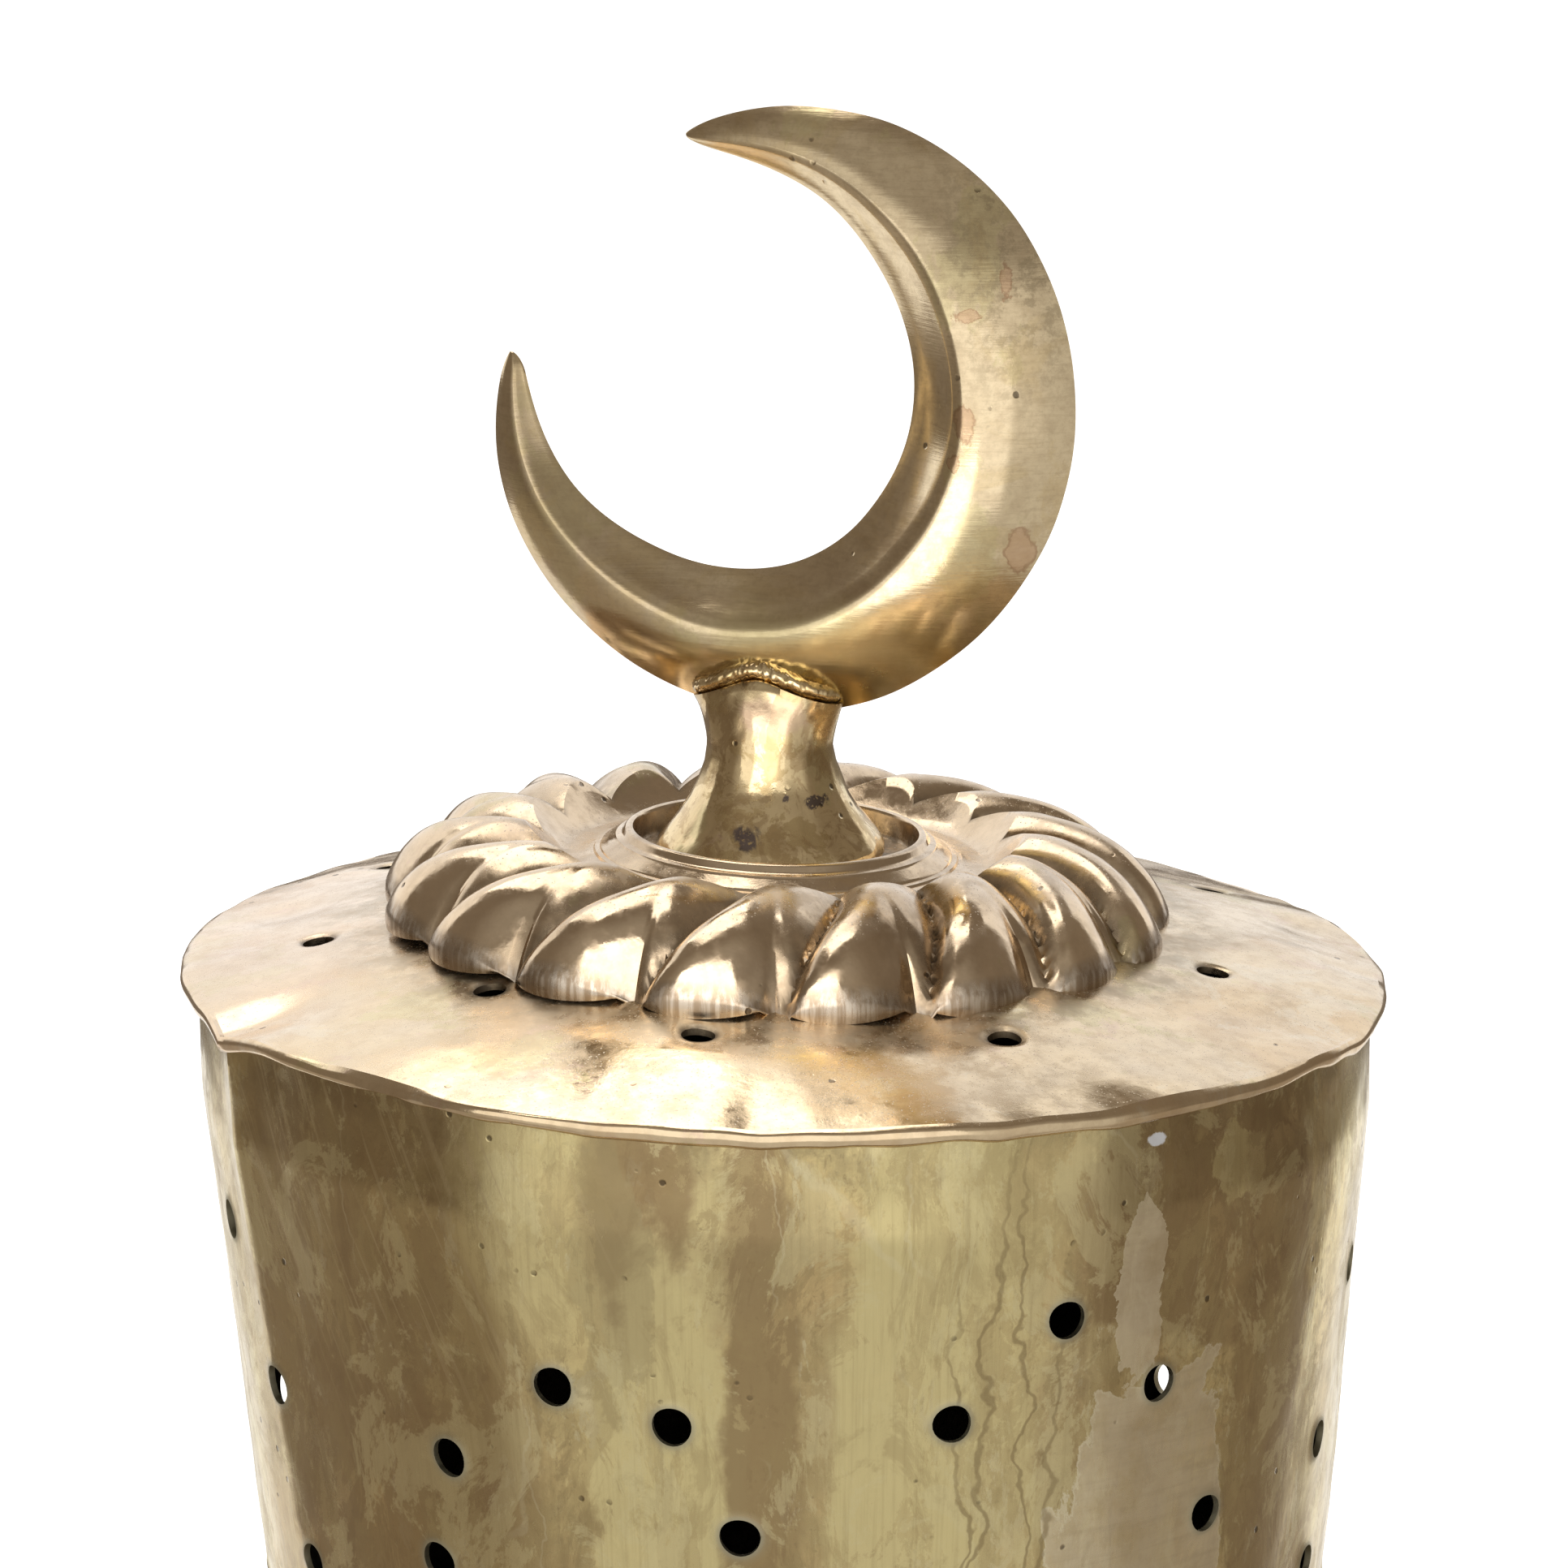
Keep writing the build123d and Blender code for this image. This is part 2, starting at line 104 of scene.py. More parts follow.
def tint(tree, share, under, over):
    """Colour under with colour over laid on it by a share."""
    mix = add_node(tree, "Mix", data_type="RGBA")
    for place, value in ((0, share), (6, under), (7, over)):
        if isinstance(value, bpy.types.NodeSocket):
            tree.links.new(value, mix.inputs[place])
        else:
            mix.inputs[place].default_value = value
    return mix.outputs[2]


def maths(tree, operation, first, second=0.0, clamp=False):
    made = add_node(tree, "Math", {0: first, 1: second}, operation=operation, use_clamp=clamp)
    return made.outputs[0]


def stain(tree, colour, mask, strength, shade):
    """A colour with a shade laid on it through a mask."""
    return tint(tree, maths(tree, "MULTIPLY", mask, strength), colour, shade)


def duller(tree, rough, mask, amount):
    """A roughness raised by an amount through a mask."""
    return maths(tree, "ADD", rough, maths(tree, "MULTIPLY", mask, amount))


def stretched(tree, where, scale):
    return add_node(tree, "Mapping", {"Vector": where, "Scale": scale}).outputs["Vector"]


CLEAN = (0.84, 0.675, 0.43, 1)
BROWN = (0.40, 0.275, 0.155, 1)
OLIVE = (0.74, 0.645, 0.35, 1)
PINK = (0.80, 0.59, 0.46, 1)
DARK = (0.060, 0.042, 0.028, 1)


def brass(name, clean=CLEAN, brown=0.5, olive=0.4, pink=0.25, shine=0.2, grain=(900, 900, 900), pits=0.4,
          beaten=0.3, glow=0.06, dust=0.0, grime_and_shade=None, extra=None):
    """Aged brass: clean metal under brown tarnish, greenish film and pink bloom, with pits and dust, and
    painted shade with grime where an attribute marks hollows.
    """
    material = bpy.data.materials.new(name)
    material.use_nodes = True
    tree = material.node_tree
    surface = tree.nodes["Principled BSDF"]
    where = add_node(tree, "TexCoord").outputs["Object"]

    broad = patchy(tree, where, 38, 0.56 - 0.22 * brown, 0.80 - 0.22 * brown, 7, 0.62, 0.4)
    film = patchy(tree, stretched(tree, where, (1.3, 1.3, 0.8)), 52, 0.60 - 0.2 * olive, 0.64 - 0.2 * olive,
                  8, 0.66)
    bloom = patchy(tree, stretched(tree, where, (1.0, 1.2, 1.1)), 74, 0.70 - 0.2 * pink, 0.73 - 0.2 * pink,
                   8, 0.7)
    mottle = patchy(tree, where, 420, 0.38, 0.66, 5, 0.65)

    colour = tint(tree, maths(tree, "MULTIPLY", film, 0.55), clean, OLIVE)
    colour = stain(tree, colour, broad, 0.80, BROWN)
    colour = stain(tree, colour, bloom, 0.45, PINK)
    colour = stain(tree, colour, mottle, 0.22, BROWN)
    rough = maths(tree, "MULTIPLY_ADD", broad, 0.07)
    tree.nodes[-1].inputs[2].default_value = shine
    rough = duller(tree, rough, film, 0.05)
    rough = duller(tree, rough, mottle, glow)

    if extra:
        colour, rough = extra(tree, where, colour, rough)
    # Painted shade with grime: an attribute darkens grooves, recesses and undersides nearly to black.
    if grime_and_shade:
        grime_and_shade_share = add_node(tree, "Attribute", attribute_name=grime_and_shade).outputs["Fac"]
        grime_with_shade = maths(tree, "MULTIPLY", grime_and_shade_share, patchy(tree, where, 300, 0.25, 0.6, 5, 0.6), clamp=True)
        colour = stain(tree, colour, grime_with_shade, 0.85, DARK)
        rough = duller(tree, rough, grime_with_shade, 0.25)

    specks = add_node(tree, "TexVoronoi", {"Vector": where, "Scale": 330, "Randomness": 1.0})
    pit = add_node(tree, "MapRange",
                   {"Value": specks.outputs["Distance"], "From Min": 0.10, "From Max": 0.16,
                    "To Min": 1.0, "To Max": 0.0}).outputs["Result"]
    pit = maths(tree, "MULTIPLY", pit,
                patchy(tree, where, 85, 0.60 - 0.1 * pits, 0.66 - 0.1 * pits, 3, 0.5))
    colour = stain(tree, colour, pit, 0.75, DARK)

    if dust:
        motes = add_node(tree, "TexVoronoi", {"Vector": where, "Scale": 1700, "Randomness": 1.0})
        mote = add_node(tree, "MapRange",
                        {"Value": motes.outputs["Distance"], "From Min": 0.14, "From Max": 0.22,
                         "To Min": 1.0, "To Max": 0.0}).outputs["Result"]
        veil = patchy(tree, where, 120, 0.35, 0.7, 5, 0.6)
        up = add_node(tree, "SeparateXYZ",
                      {"Vector": add_node(tree, "NewGeometry").outputs["Normal"]}).outputs["Z"]
        lying = add_node(tree, "MapRange",
                         {"Value": up, "From Min": 0.70, "From Max": 0.99}).outputs["Result"]
        powder = maths(tree, "ADD", maths(tree, "MULTIPLY", veil, 0.45), maths(tree, "MULTIPLY", mote, 0.9))
        settled = maths(tree, "MULTIPLY", lying, powder, clamp=True)
        settled = maths(tree, "MULTIPLY", settled, dust)
        colour = tint(tree, settled, colour, (0.74, 0.67, 0.585, 1))
        metal = maths(tree, "SUBTRACT", 1.0, settled)
        tree.links.new(metal, surface.inputs["Metallic"])
        rough = duller(tree, rough, settled, 0.6)
    else:
        surface.inputs["Metallic"].default_value = 1.0

    scratch = add_node(tree, "TexNoise",
                       {"Vector": stretched(tree, where, grain), "Scale": 1.0, "Detail": 4.0,
                        "Roughness": 0.6})
    waves = add_node(tree, "TexNoise", {"Vector": where, "Scale": 130, "Detail": 2.0, "Roughness": 0.45})
    height = maths(tree, "MULTIPLY", scratch.outputs["Fac"], 0.05)
    height = maths(tree, "ADD", height, maths(tree, "MULTIPLY", waves.outputs["Fac"], beaten))
    height = maths(tree, "SUBTRACT", height, maths(tree, "MULTIPLY", pit, 0.22))
    height = maths(tree, "ADD", height, maths(tree, "MULTIPLY", film, 0.012))
    relief = add_node(tree, "Bump", {"Height": height, "Strength": 0.55, "Distance": 0.0006})
    tree.links.new(relief.outputs["Normal"], surface.inputs["Normal"])
    tree.links.new(colour, surface.inputs["Base Color"])
    tree.links.new(rough, surface.inputs["Roughness"])
    return material


cast_brass = brass("cast_brass", CLEAN, brown=0.45, olive=0.35, pink=0.2, shine=0.17,
                   grain=(1500, 1500, 260))


def foot_mesh(name, azimuth):
    """Rounded sections from the pad's inner end, out, and down to the toe."""
    outer = ((64, 18.45), (70, 18.45), (78, 18.45), (84.5, 18.4), (88.6, 16.2), (90.4, 12.6), (90.2, 8.6),
             (89.4, 5.0), (89.3, 2.4), (88.2, 0.0))
    inner = ((64, 17.4), (67.0, 14.6), (70.6, 12.2), (74.0, 11.0), (76.2, 9.8), (77.4, 8.2), (77.9, 6.2),
             (77.5, 4.0), (76.8, 1.8), (76.4, 0.0))
    half_widths = (6.0, 8.2, 8.9, 8.9, 8.4, 7.6, 6.9, 6.7, 7.6, 8.2)
    count = 28
    points, loops = [], []
    for (ro, zo), (ri, zi), half in zip(outer, inner, half_widths):
        loop = []
        for k in range(count):
            turn = 2 * pi * k / count
            across, out = cos(turn), sin(turn)
            across = abs(across) ** 0.55 * (1 if across > 0 else -1)
            out = abs(out) ** 0.55 * (1 if out > 0 else -1)
            share = (out + 1) / 2
            r, z, side = ri + (ro - ri) * share, zi + (zo - zi) * share, across * half
            a = radians(azimuth)
            loop.append(len(points))
            points.append((r * sin(a) + side * cos(a), -r * cos(a) + side * sin(a), z))
        loops.append(loop)
    faces = strips(loops) + [tuple(reversed(loops[0])), tuple(loops[-1])]
    foot = mesh_piece(name, points, faces, 60)
    foot.data.flip_normals()
    return foot


for number in (1, 2, 3):
    finish_piece(foot_mesh(f"cast_foot_{number}", 120 * (number - 1)), "base", "cast_brass", [cast_brass],
                 f"foot_{number}")


# ---- foot screws ----------------------------------------------------------------------------
# Slotted steel screws, down through the dish into the feet. Dull, with a little rust.

def worn_metal(name, colour, rust, shine, metal=1.0, scale=160.0, relief_height=0.3):
    """Plain dark or dull metal with stains, a fine grain and uneven gloss."""
    material = bpy.data.materials.new(name)
    material.use_nodes = True
    tree = material.node_tree
    surface = tree.nodes["Principled BSDF"]
    surface.inputs["Metallic"].default_value = metal
    where = add_node(tree, "TexCoord").outputs["Object"]
    stains = patchy(tree, where, scale, 0.42, 0.62, 7, 0.65, 0.3)
    fine = patchy(tree, where, scale * 9, 0.3, 0.7, 4, 0.6)
    shade = tint(tree, stains, colour, rust)
    shade = tint(tree, maths(tree, "MULTIPLY", fine, 0.25), shade, (0.02, 0.017, 0.014, 1))
    rough = maths(tree, "ADD", maths(tree, "MULTIPLY", stains, 0.22), shine)
    rough = duller(tree, rough, fine, 0.08)
    lumps = add_node(tree, "TexNoise",
                     {"Vector": where, "Scale": scale * 4, "Detail": 5.0, "Roughness": 0.6})
    height = maths(tree, "MULTIPLY", lumps.outputs["Fac"], relief_height)
    relief = add_node(tree, "Bump", {"Height": height, "Strength": 0.6, "Distance": 0.0005})
    tree.links.new(relief.outputs["Normal"], surface.inputs["Normal"])
    tree.links.new(shade, surface.inputs["Base Color"])
    tree.links.new(rough, surface.inputs["Roughness"])
    return material


def dress_node(node, material):
    """Puts a material on a CAD node that is shown as it is."""
    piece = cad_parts[node]
    piece.data.materials.clear()
    piece.data.materials.append(material)


screw_steel = worn_metal("screw_steel", (0.42, 0.39, 0.35, 1), (0.20, 0.10, 0.05, 1), 0.32, scale=420)
dress_node("foot_screws", screw_steel)


# ---- dish -----------------------------------------------------------------------------------
# The base dish is spun from one sheet of brass, with a flat floor, a coved side and a rolled rim.
# It catches ash, so it is browner than the hood, with rings left by the spinning tool.

def lathe(name, outline, columns=240, sharp=35.0, wobble=0.0, centre=(0.0, 0.0)):
    """A turned mesh from an outline of radius and height. An outline that closes on itself is a ring."""
    points, loops = [], []
    for r, z in outline:
        loop = []
        for k in range(columns):
            a = 2 * pi * k / columns
            spot = Vector((r * cos(a), r * sin(a), z)) / 22
            lift = wobble * noise.noise(spot) * min(1.0, r / 20)
            loop.append(len(points))
            points.append((centre[0] + r * cos(a), centre[1] + r * sin(a), z + lift))
        loops.append(loop)
    faces = strips(loops)
    if outline[0] != outline[-1]:
        faces += [tuple(reversed(loops[0])), tuple(loops[-1])]
    piece = mesh_piece(name, points, faces, sharp)
    if outline[0] == outline[-1]:
        weld(piece)
    return piece


def weld(piece):
    """Joins the points that lie on each other and turns every face outwards."""
    work = bmesh.new()
    work.from_mesh(piece.data)
    bmesh.ops.remove_doubles(work, verts=work.verts, dist=1e-7)
    bmesh.ops.recalc_face_normals(work, faces=work.faces)
    work.to_mesh(piece.data)
    work.free()


def arc(centre, radius, start, end, steps):
    """Points round an arc, by radius and height, between two angles in degrees."""
    turns = [radians(start + (end - start) * k / steps) for k in range(steps + 1)]
    return [(centre[0] + radius * cos(t), centre[1] + radius * sin(t)) for t in turns]


FLOOR = 19.7  # top of the dish floor
UNDER = 18.5  # underside of the dish floor
dish_centre = (80.0, UNDER + 16.0)
dish_outline = (
    [(0.8, UNDER), (30, UNDER), (60, UNDER)] + arc(dish_centre, 16.0, -90, -30, 14)
    + arc((97.8, 32.2), 2.2, -60, 210, 22) + arc(dish_centre, 14.8, -30, -90, 14)
    + [(74, FLOOR), (60, FLOOR), (30, FLOOR), (0.8, FLOOR)]
)
dish_brass = brass("dish_brass", CLEAN, brown=0.85, olive=0.3, pink=0.35, shine=0.24, grain=(500, 500, 500),
                   dust=0.5)
finish_piece(lathe("spun_dish", dish_outline, 288, 50, 0.25), "base", "dish_brass", [dish_brass],
             "base_dish")


# ---- collar and its rivets ------------------------------------------------------------------
# An upright ring of brass strip, flanged and riveted to the dish floor. The hood drops into it.

COLLAR = 62.4  # bore radius of the collar
collar_outline = [
    (COLLAR, FLOOR), (71.2, FLOOR), (71.6, FLOOR + 0.4), (71.6, FLOOR + 0.9), (71.2, FLOOR + 1.2),
    (65.0, FLOOR + 1.2), (64.0, FLOOR + 1.5), (63.6, FLOOR + 2.4), (63.6, FLOOR + 11.5),
    (63.3, FLOOR + 12.0), (62.7, FLOOR + 12.0), (COLLAR, FLOOR + 11.6), (COLLAR, FLOOR),
]
finish_piece(lathe("flanged_collar", collar_outline, 288, 50, 0.12), "base", "dish_brass", [dish_brass],
             "collar_ring")


def turn_to(azimuth, r, z):
    a = radians(azimuth)
    return Vector((r * sin(a), -r * cos(a), z))


def rivet_mesh(name, heads, radius, height):
    """Hammered rivet heads, each a low dome with an uneven top. A head is a place and its outward way."""
    points, faces = [], []
    rings, count = 7, 20
    for place, out in heads:
        out = out.normalized()
        side = out.orthogonal().normalized()
        up = out.cross(side)
        loops = []
        for ring in range(rings + 1):
            share = ring / rings
            loop = []
            for k in range(count):
                a = 2 * pi * k / count
                flat = 1 - 0.22 * max(0.0, noise.noise(place * 0.7 + Vector((cos(a), sin(a), share))))
                r = radius * cos(share * pi / 2 * 0.97)
                h = height * min(0.86 * flat + 0.06, sin(share * pi / 2) * (1.05 - 0.1 * flat))
                spot = place + (side * cos(a) + up * sin(a)) * r + out * (h - 0.05)
                loop.append(len(points))
                points.append(tuple(spot))
            loops.append(loop)
        faces += strips(loops) + [tuple(reversed(loops[0])), tuple(loops[-1])]
    return mesh_piece(name, points, faces, 60)


rivet_brass = brass("rivet_brass", CLEAN, brown=0.6, olive=0.2, pink=0.4, shine=0.22, pits=0.2)
DOWN, UP = Vector((0, 0, -1)), Vector((0, 0, 1))
collar_heads = [(turn_to(30 + 60 * k, 67.6, FLOOR + 1.2), UP) for k in range(6)]
collar_heads += [(turn_to(30 + 60 * k, 67.6, UNDER), DOWN) for k in range(6)]
finish_piece(rivet_mesh("collar_rivet_heads", collar_heads, 3.0, 1.4), "base", "rivet_brass", [rivet_brass],
             "collar_rivets")


# ---- trivet ---------------------------------------------------------------------------------
# A flat iron ring on three turned posts, riveted over through the dish. It holds the pan off the brass.

black_iron = worn_metal("black_iron", (0.10, 0.09, 0.085, 1), (0.17, 0.13, 0.10, 1), 0.45, 0.7, 140, 0.8)
TRIVET = FLOOR + 11.5  # underside of the trivet's ring
ring_outline = [
    (25.0, TRIVET + 0.3), (25.3, TRIVET), (36.7, TRIVET), (37.0, TRIVET + 0.3), (37.0, TRIVET + 1.7),
    (36.7, TRIVET + 2.0), (25.3, TRIVET + 2.0), (25.0, TRIVET + 1.7), (25.0, TRIVET + 0.3),
]
finish_piece(lathe("iron_ring", ring_outline, 144, 30), "base", "iron", [black_iron], "trivet_ring")
for number in (1, 2, 3):
    dress_node(f"trivet_leg_{number}", black_iron)


# ---- ember pan, grate, ears and bail --------------------------------------------------------
# The pan is copper sheet raised over a stake, with a turned-out lip. Ears riveted inside it carry a wire
# bail, and a pierced iron grate holds the charcoal off its floor. All of it is heat-stained.

def heat_stain(tree, where, colour, rough):
    soot = patchy(tree, where, 60, 0.36, 0.62, 7, 0.65, 0.5)
    colour = stain(tree, colour, soot, 0.8, (0.035, 0.026, 0.022, 1))
    return colour, duller(tree, rough, soot, 0.3)


PAN = TRIVET + 2.3  # underside of the pan
LIP = PAN + 27.5  # top of its lip
pan_outline = (
    [(0.6, PAN), (15, PAN)] + arc((28.0, PAN + 2.5), 2.5, -90, -46, 5)
    + [(36.5, PAN + 6.75)] + arc((40.5, PAN + 14.2), 2.5, -40, 0, 5) + [(43.0, PAN + 20), (43.0, LIP - 1.0)]
    + [(46.6, LIP - 1.0), (47.0, LIP - 0.7), (47.0, LIP - 0.3), (46.6, LIP), (42.7, LIP), (42.0, LIP - 0.8)]
    + [(42.0, PAN + 20), (42.0, PAN + 14.2), (40.9, PAN + 12.6), (35.8, PAN + 7.4), (29.2, PAN + 1.3),
       (28, PAN + 1.0)]
    + [(15, PAN + 1.0), (0.6, PAN + 1.0)]
)
pan_copper = brass("pan_copper", (0.78, 0.42, 0.27, 1), brown=0.7, olive=0.0, pink=0.4, shine=0.30,
                   dust=0.6, extra=heat_stain)
finish_piece(lathe("raised_pan", pan_outline, 192, 50, 0.2), "pan", "pan_copper", [pan_copper], "ember_pan")
dress_node("ember_grate", black_iron)
dress_node("pan_ear_left", pan_copper)
dress_node("pan_ear_right", pan_copper)
ear_heads = []
for side in (-1, 1):
    for h in (LIP - 4.5, LIP - 10.0):
        ear_heads.append((Vector((side * 40.7, 0, h)), Vector((-side, 0, 0))))
        ear_heads.append((Vector((side * 42.95, 0, h)), Vector((side, 0, 0))))
finish_piece(rivet_mesh("ear_rivet_heads", ear_heads, 2.2, 0.9), "pan", "rivet_brass", [rivet_brass],
             "ear_rivets")
iron_wire = worn_metal("iron_wire", (0.24, 0.22, 0.20, 1), (0.13, 0.08, 0.05, 1), 0.34, 0.9, 220, 0.35)
dress_node("pan_bail", iron_wire)


# ---- hood wall ------------------------------------------------------------------------------
# One sheet of brass, rolled to a taper, lapped and riveted at the back, and punched by hand with rings of
# holes. Its hem is rolled round an iron wire. Years of knocks have left it slightly out of round.

RIM = 180.0  # height of the wall's top over the floor
WALL = 73.0  # outer radius at the top
SHEET = 0.8  # thickness
HEM_ROLL = 2.05  # outer radius of the rolled hem's section
HEM_DEPTH = 157.95  # from the rim down to the middle of the hem's wire
TILT = 1.1  # degrees that the cap sits down to the right


def wall_radius(depth):
    return WALL - 0.1 * max(0.0, depth - 14.0)


def ease(value, low, high):
    share = min(1.0, max(0.0, (value - low) / (high - low)))
    return share * share * (3 - 2 * share)


def near(azimuth, centre, width):
    """1 at an azimuth, fading to 0 at that many degrees from it."""
    gap = abs((azimuth - centre + 180) % 360 - 180)
    return max(0.0, 1 - gap / width) ** 2 if gap < width else 0.0


def rim_knock(azimuth):
    """How far the rim is pushed out and up at an azimuth: a pinched corner, and a wave all round."""
    spot = Vector((sin(radians(azimuth)), cos(radians(azimuth)), 0))
    out = 0.55 * noise.noise(spot * 3.1) + 0.22 * noise.noise(spot * 9.0)
    up = 0.50 * noise.noise(spot * 4.3 + Vector((7, 0, 0))) + 0.25 * noise.noise(spot * 12.0)
    pinch = near(azimuth, -63, 8)
    return out + 1.1 * pinch, up - 1.2 * pinch - 0.5 * near(azimuth, -20, 22) - 0.6 * near(azimuth, 88, 18)


def lean(depth):
    """The wall's middle drifts to the right on its way down, and comes back at the hem."""
    return 1.6 * ease(depth, 5, 85) * (1 - ease(depth, 95, 150))


def wall_point(azimuth, depth, inward=0.0):
    a = radians(azimuth)
    r = wall_radius(depth)
    spot = Vector((r * sin(a), -r * cos(a), -depth))
    calm = 1 - ease(depth, 138, 152)
    tall = Vector((spot.x / 13, spot.y / 13, spot.z / 95))
    wide = Vector((spot.x / 30, spot.y / 30, spot.z / 45)) + Vector((3, 5, 8))
    push = 0.42 * noise.noise(tall) + 0.75 * noise.noise(wide) + 0.10 * noise.noise(spot / 6)
    out, up = rim_knock(azimuth)
    fade = exp(-depth / 16.0)
    crease = near(azimuth, -63, 5) * exp(-depth / 30.0)
    lap = SHEET * ease(azimuth % 360, 172, 176.5) if azimuth % 360 < 185.4 else 0.0
    r += push * calm + out * fade * 0.8 + 0.8 * crease + (lap if depth < 154 else 0.0) - inward
    tilt = -spot.x * sin(radians(TILT)) * (1 - ease(depth, 0, 60))
    return (r * sin(a) + lean(depth), -r * cos(a), RIM - depth + up * fade + tilt)


def ring_of_eight(azimuth, depth, radius, first):
    """Eight holes in a ring on the wall, the first at that angle of the ring."""
    per_degree = wall_radius(depth) * pi / 180
    turns = [radians(first + 45 * k) for k in range(8)]
    return [(azimuth + radius * cos(t) / per_degree, depth - radius * sin(t)) for t in turns]


front_punches = [  # azimuth, and depth under the rim
    (-70, 26.5), (-62.5, 44.5), (-60, 66.5), (-82, 78), (-104, 61), (-108, 43), (-97, 29),
    (-22.5, 33.5), (-11, 37), (-5, 50.5), (-8, 66), (-19, 75), (-32, 73), (-38, 59), (-35, 45),
    (27, 25.5), (38, 36), (45.5, 55), (39, 71), (27, 79), (15.5, 72), (8, 58), (15.5, 37),
    (77, 33.5), (69.5, 54), (69.5, 70.5), (82, 79), (98, 74), (107, 60), (106, 42), (95, 28),
]
back_punches = ring_of_eight(141, 52, 21, 12) + ring_of_eight(-153, 50, 19, 0)
lower_punches = [p for az in (-150, -100, -50, 2, 55, 104, 150) for p in ring_of_eight(az, 115, 18, 22.5)]


def pierced_sheet(name, rows, step, start, punches, size, place, tail, burr_height, flat=False,
                  thick=SHEET):
    """A round sheet with true thickness and round punched holes, 360 columns by rows.

    place(azimuth, run, inward) gives a point. tail lists more runs of points after the inner skin's end.
    The attribute burr is 1 at each hole's edge.
    """
    half = 4  # a hole's patch reaches this many cells each way
    spots, key = [], {}

    def spot(azimuth, run, burr=0.0):
        spots.append((azimuth, run, burr))
        return len(spots) - 1

    for row in range(rows + 1):
        for column in range(360):
            key[column, row] = spot(column, start + row * step)
    cut, patches, edges = set(), [], []
    for azimuth, run in punches:
        column, row = round(azimuth), round((run - start) / step)
        for i in range(-half, half):
            for j in range(-half, half):
                cut.add(((column + i) % 360, row + j))
        border = [(column + i, row - half) for i in range(-half, half)]
        border += [(column + half, row + j) for j in range(-half, half)]
        border += [(column - i, row + half) for i in range(-half, half)]
        border += [(column - half, row - j) for j in range(-half, half)]
        per_degree = (run if flat else wall_radius(run)) * pi / 180
        wobble = noise.noise(Vector((azimuth, run, 0)) * 0.37)
        rings = []
        for grow, burr in ((1.0, 1.0), (1.10, 0.8), (1.28, 0.25), (1.6, 0.0)):
            ring = []
            for c, r in border:
                turn = atan2(start + r * step - run, (c - azimuth) * per_degree)
                reach = size * grow * (1 + 0.05 * wobble * cos(2 * turn) + 0.02 * cos(3 * turn + azimuth))
                ring.append(spot(azimuth + reach * cos(turn) / per_degree, run + reach * sin(turn), burr))
            rings.append(ring)
        rings.append([key[c % 360, r] for c, r in border])
        patches += strips(rings)
        edges.append(rings[0])
    skin = [(key[c, r], key[(c + 1) % 360, r], key[(c + 1) % 360, r + 1], key[c, r + 1])
            for r in range(rows) for c in range(360) if (c, r) not in cut]
    skin += patches
    lip = [burr_height * b for _, _, b in spots]
    points = [place(a, v, -lift) for (a, v, _), lift in zip(spots, lip)]
    points += [place(a, v, thick - lift) for (a, v, _), lift in zip(spots, lip)]
    count = len(spots)
    inner = [tuple(reversed([k + count for k in face])) for face in skin]
    walls = []
    for ring in edges:
        walls += strips([[k + count for k in ring], ring])
    first = [key[c, 0] for c in range(360)]
    last = [key[c, rows] for c in range(360)]
    walls += strips([first, [k + count for k in first]])
    loops = [[k + count for k in last]]
    for run in tail:
        loops.append(list(range(len(points), len(points) + 360)))
        points += [run(column) for column in range(360)]
    walls += strips(loops + [last])
    piece = mesh_piece(name, points, skin + inner + walls, 38)
    burr = piece.data.attributes.new("burr", "FLOAT", "POINT")
    values = [b for _, _, b in spots] * 2
    burr.data.foreach_set("value", values + [0.0] * (len(points) - len(values)))
    for face in range(len(skin), len(skin) + len(inner)):
        piece.data.polygons[face].material_index = 1
    return piece


def hem_run(angle):
    """One line of points round the rolled hem, at that angle of its section."""
    centre = wall_radius(HEM_DEPTH) - SHEET + HEM_ROLL
    r = centre + HEM_ROLL * cos(radians(angle))
    z = RIM - HEM_DEPTH + HEM_ROLL * sin(radians(angle))
    return lambda column: (r * sin(radians(column)), -r * cos(radians(column)), z)


def unrolled(tree, where):
    """The sheet laid flat: distance round it from the front, and height under the rim."""
    part = add_node(tree, "SeparateXYZ", {"Vector": where})
    turn = maths(tree, "ARCTAN2", part.outputs["X"], maths(tree, "MULTIPLY", part.outputs["Y"], -1.0))
    drop = maths(tree, "SUBTRACT", part.outputs["Z"], RIM * MM)
    mean_radius = 71 * MM
    run = maths(tree, "MULTIPLY", turn, mean_radius)
    return add_node(tree, "CombineXYZ", {"X": run, "Y": drop}).outputs["Vector"]


def mark(tree, flat, round_mm, drop_mm, wide, tall, edge=0.06, jag=0.5):
    """One blotch at a place on the laid-out sheet, with its half sizes in millimetres and a ragged edge."""
    moved = add_node(tree, "VectorMath", {0: flat, 1: (round_mm * MM, -drop_mm * MM, 0)},
                     operation="SUBTRACT")
    sized = add_node(tree, "VectorMath", {0: moved.outputs[0], 1: (1000 / wide, 1000 / tall, 0)},
                     operation="MULTIPLY")
    reach = add_node(tree, "VectorMath", {0: sized.outputs[0]}, operation="LENGTH").outputs["Value"]
    grain = max(55.0, 700.0 / min(wide, tall))
    rag = add_node(tree, "TexNoise", {"Vector": stretched(tree, flat, (1.0, 0.7, 1.0)), "Scale": grain,
                                      "Detail": 8.0, "Roughness": 0.62, "Distortion": 0.4}).outputs["Fac"]
    reach = maths(tree, "ADD", reach, maths(tree, "MULTIPLY", maths(tree, "SUBTRACT", rag, 0.5), jag * 2))
    return add_node(tree, "MapRange", {"Value": reach, "From Min": 1 - edge, "From Max": 1 + edge,
                                       "To Min": 1.0, "To Max": 0.0},
                    interpolation_type="SMOOTHSTEP").outputs["Result"]


